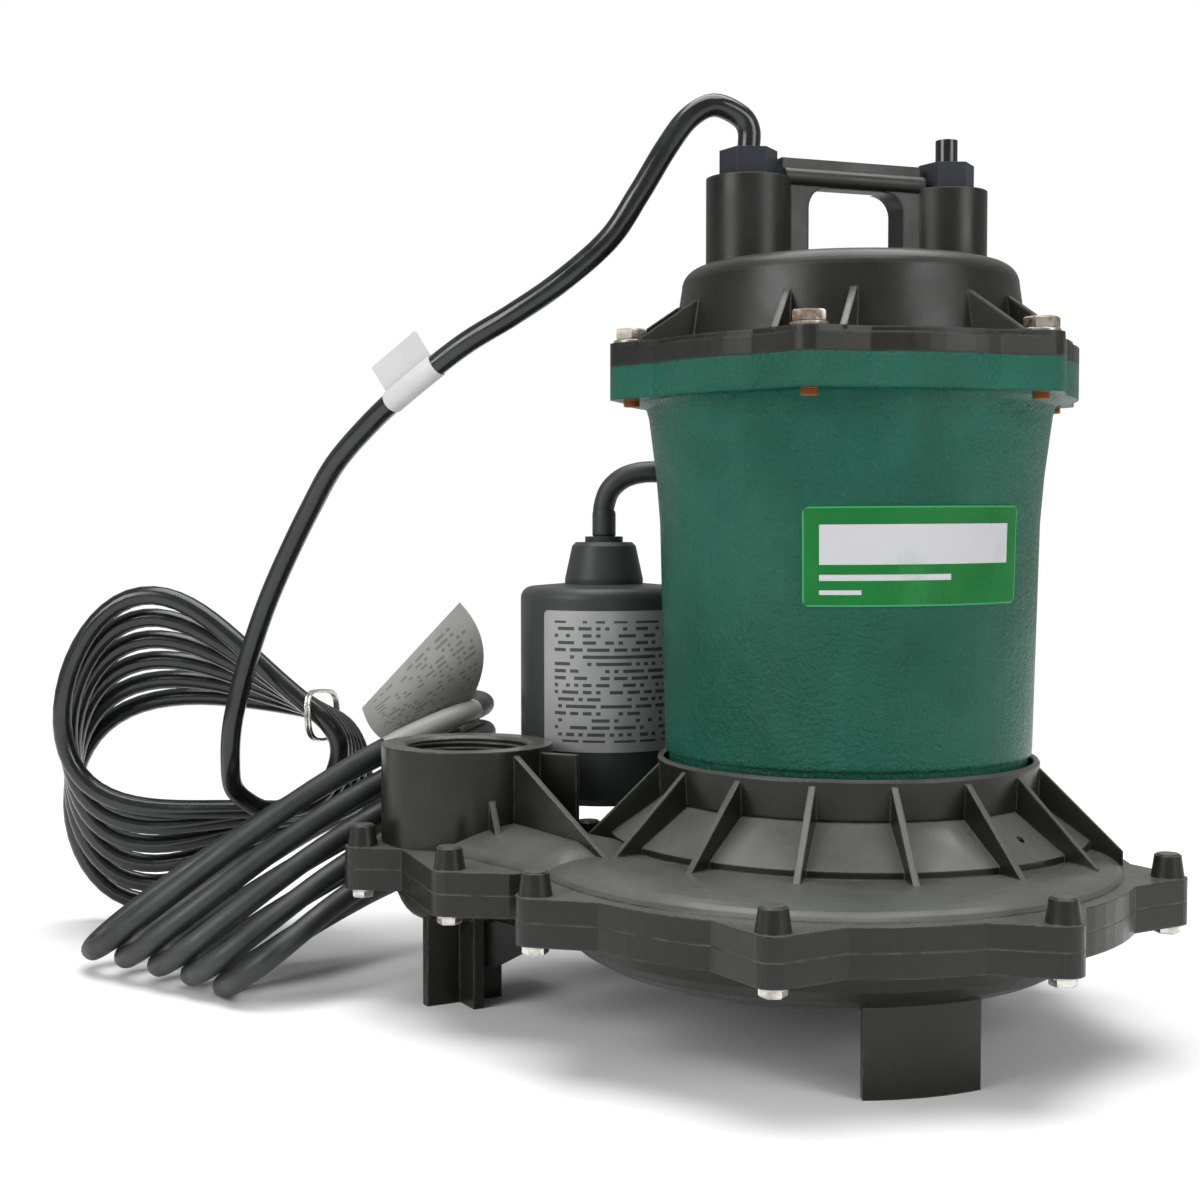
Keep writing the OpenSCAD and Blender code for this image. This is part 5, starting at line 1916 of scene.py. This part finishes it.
@dataclass
class Studio:
    """Pale floor, soft lamps and the camera, in metres and degrees."""

    eye: Point = (0.0366, -0.6769, 0.1873)
    pitch: float = -2.365
    yaw: float = 7.733
    lens: float = 54.63
    sensor: float = 36.0
    nearest: float = 0.01
    floor_half: float = 4.0
    floor_colour: Rgb = (0.86, 0.86, 0.86)
    floor_shade: Rgb = (0.8, 0.8, 0.8)
    fade_near: float = 0.42
    fade_far: float = 0.85
    world_light: float = 0.34
    lit: Point = (-0.02, 0.0, 0.15)

    WHITE: ClassVar[float] = 1.0
    TONE: ClassVar[Noise] = Noise(1.5, 2.0, low=0.98)
    LAMPS: ClassVar[tuple[Lamp, ...]] = (
        Lamp("lamp_left", (-1.3, -1.2, 1.0), 1.0, 22.0),
        Lamp("lamp_right", (1.4, -0.9, 0.8), 0.9, 13.0),
        Lamp("lamp_top", (0.0, 0.1, 1.6), 1.5, 34.0))

    def camera(self) -> None:
        """Adds the camera."""
        data = bpy.data.cameras.new("studio_camera")
        data.lens = self.lens
        data.sensor_width = self.sensor
        data.clip_start = self.nearest
        camera = bpy.data.objects.new("studio_camera", data)
        camera.location = self.eye
        camera.rotation_euler = (math.radians(90 + self.pitch), 0.0, math.radians(self.yaw))
        bpy.context.scene.collection.objects.link(camera)
        bpy.context.scene.camera = camera

    def floor(self) -> None:
        """Adds the floor, which fades to plain white away from the pump."""
        sheet = NodeSheet("studio_floor")
        pale = sheet.mix(sheet.spread(self.TONE), self.floor_shade, self.floor_colour)
        sheet.finish(pale, 0.8, specular=0.1)
        away = sheet.add("ShaderNodeVectorMath")
        away.operation = "LENGTH"
        sheet.link(sheet.place, away.inputs[0])
        far = sheet.span(away.outputs["Value"], self.fade_near, self.fade_far)
        seen = sheet.add("ShaderNodeLightPath").outputs["Is Camera Ray"]
        blank = sheet.add("ShaderNodeEmission", Strength=self.WHITE)
        mixed = sheet.add("ShaderNodeMixShader")
        sheet.link(sheet.times(far, seen), mixed.inputs["Fac"])
        sheet.link(sheet.shader.outputs["BSDF"], mixed.inputs[1])
        sheet.link(blank.outputs["Emission"], mixed.inputs[2])
        sheet.link(mixed.outputs["Shader"], sheet.output.inputs["Surface"])
        h = self.floor_half
        floor = put("studio_floor", [(-h, -h, 0), (h, -h, 0), (h, h, 0), (-h, h, 0)],
                    [(0, 1, 2, 3)], sheet.material)

    def light(self, lamp: Lamp) -> None:
        """Adds one lamp that faces the pump.

        Args:
            lamp: The lamp.
        """
        data = bpy.data.lights.new(lamp.name, "AREA")
        data.shape = "SQUARE"
        data.size = lamp.side
        data.energy = lamp.power
        standing = bpy.data.objects.new(lamp.name, data)
        standing.location = lamp.place
        aim = Vector(self.lit) - Vector(lamp.place)
        standing.rotation_euler = aim.to_track_quat("-Z", "Y").to_euler()
        bpy.context.scene.collection.objects.link(standing)

    def world(self) -> None:
        """White surroundings for the eye, dimmer ones for light and gloss."""
        world = bpy.data.worlds.new("studio_world")
        world.use_nodes = True
        bpy.context.scene.world = world
        tree = world.node_tree
        tree.nodes.clear()
        mixed = tree.nodes.new("ShaderNodeMixShader")
        for index, strength in ((1, self.world_light), (2, self.WHITE)):
            sky = tree.nodes.new("ShaderNodeBackground")
            sky.inputs["Color"].default_value = (1, 1, 1, 1)
            sky.inputs["Strength"].default_value = strength
            tree.links.new(sky.outputs["Background"], mixed.inputs[index])
        path = tree.nodes.new("ShaderNodeLightPath")
        tree.links.new(path.outputs["Is Camera Ray"], mixed.inputs["Fac"])
        out = tree.nodes.new("ShaderNodeOutputWorld")
        tree.links.new(mixed.outputs["Shader"], out.inputs["Surface"])

    def make(self) -> None:
        """Builds the studio."""
        self.camera()
        self.floor()
        self.world()
        for lamp in self.LAMPS:
            self.light(lamp)
        bpy.context.scene.view_settings.view_transform = "Standard"


def main() -> None:
    """Builds the whole scene."""
    logging.basicConfig(level=logging.INFO)
    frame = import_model()
    Studio().make()
    finishes = Finishes()
    Cords(finishes).make()
    CoverBolts().make(finishes.bolt)
    VoluteScrews().make(finishes.zinc)
    PipeThread().make(finishes.volute)
    ThroatFairing().make(finishes.volute)
    WrappedLabel(
        "housing_sticker", axis=MOTOR_AXIS,
        wall=[(102.2, 68.9), (106.2, 69.1), (187.82, 71.1), (205.0, 72.5), (216.0, 73.9)],
        from_turn=-102.5, to_turn=-34.0, low=159.4, high=193.8, corner=2.6, lean=0.6,
    ).make(finishes.sticker, Body.PUMP, Slot.STICKER, "housing_label")
    WrappedLabel(
        "float_foil", axis=FLOAT_AXIS, wall=[(72.0, 35.2), (165.0, 35.2)],
        from_turn=-126.0, to_turn=4.0, low=94.9, high=152.4, corner=2.0,
    ).make(finishes.foil, Body.FLOAT, Slot.FOIL, "float_label")
    Dresser(finishes).dress(frame["nodes"])


if __name__ == "__main__":
    main()
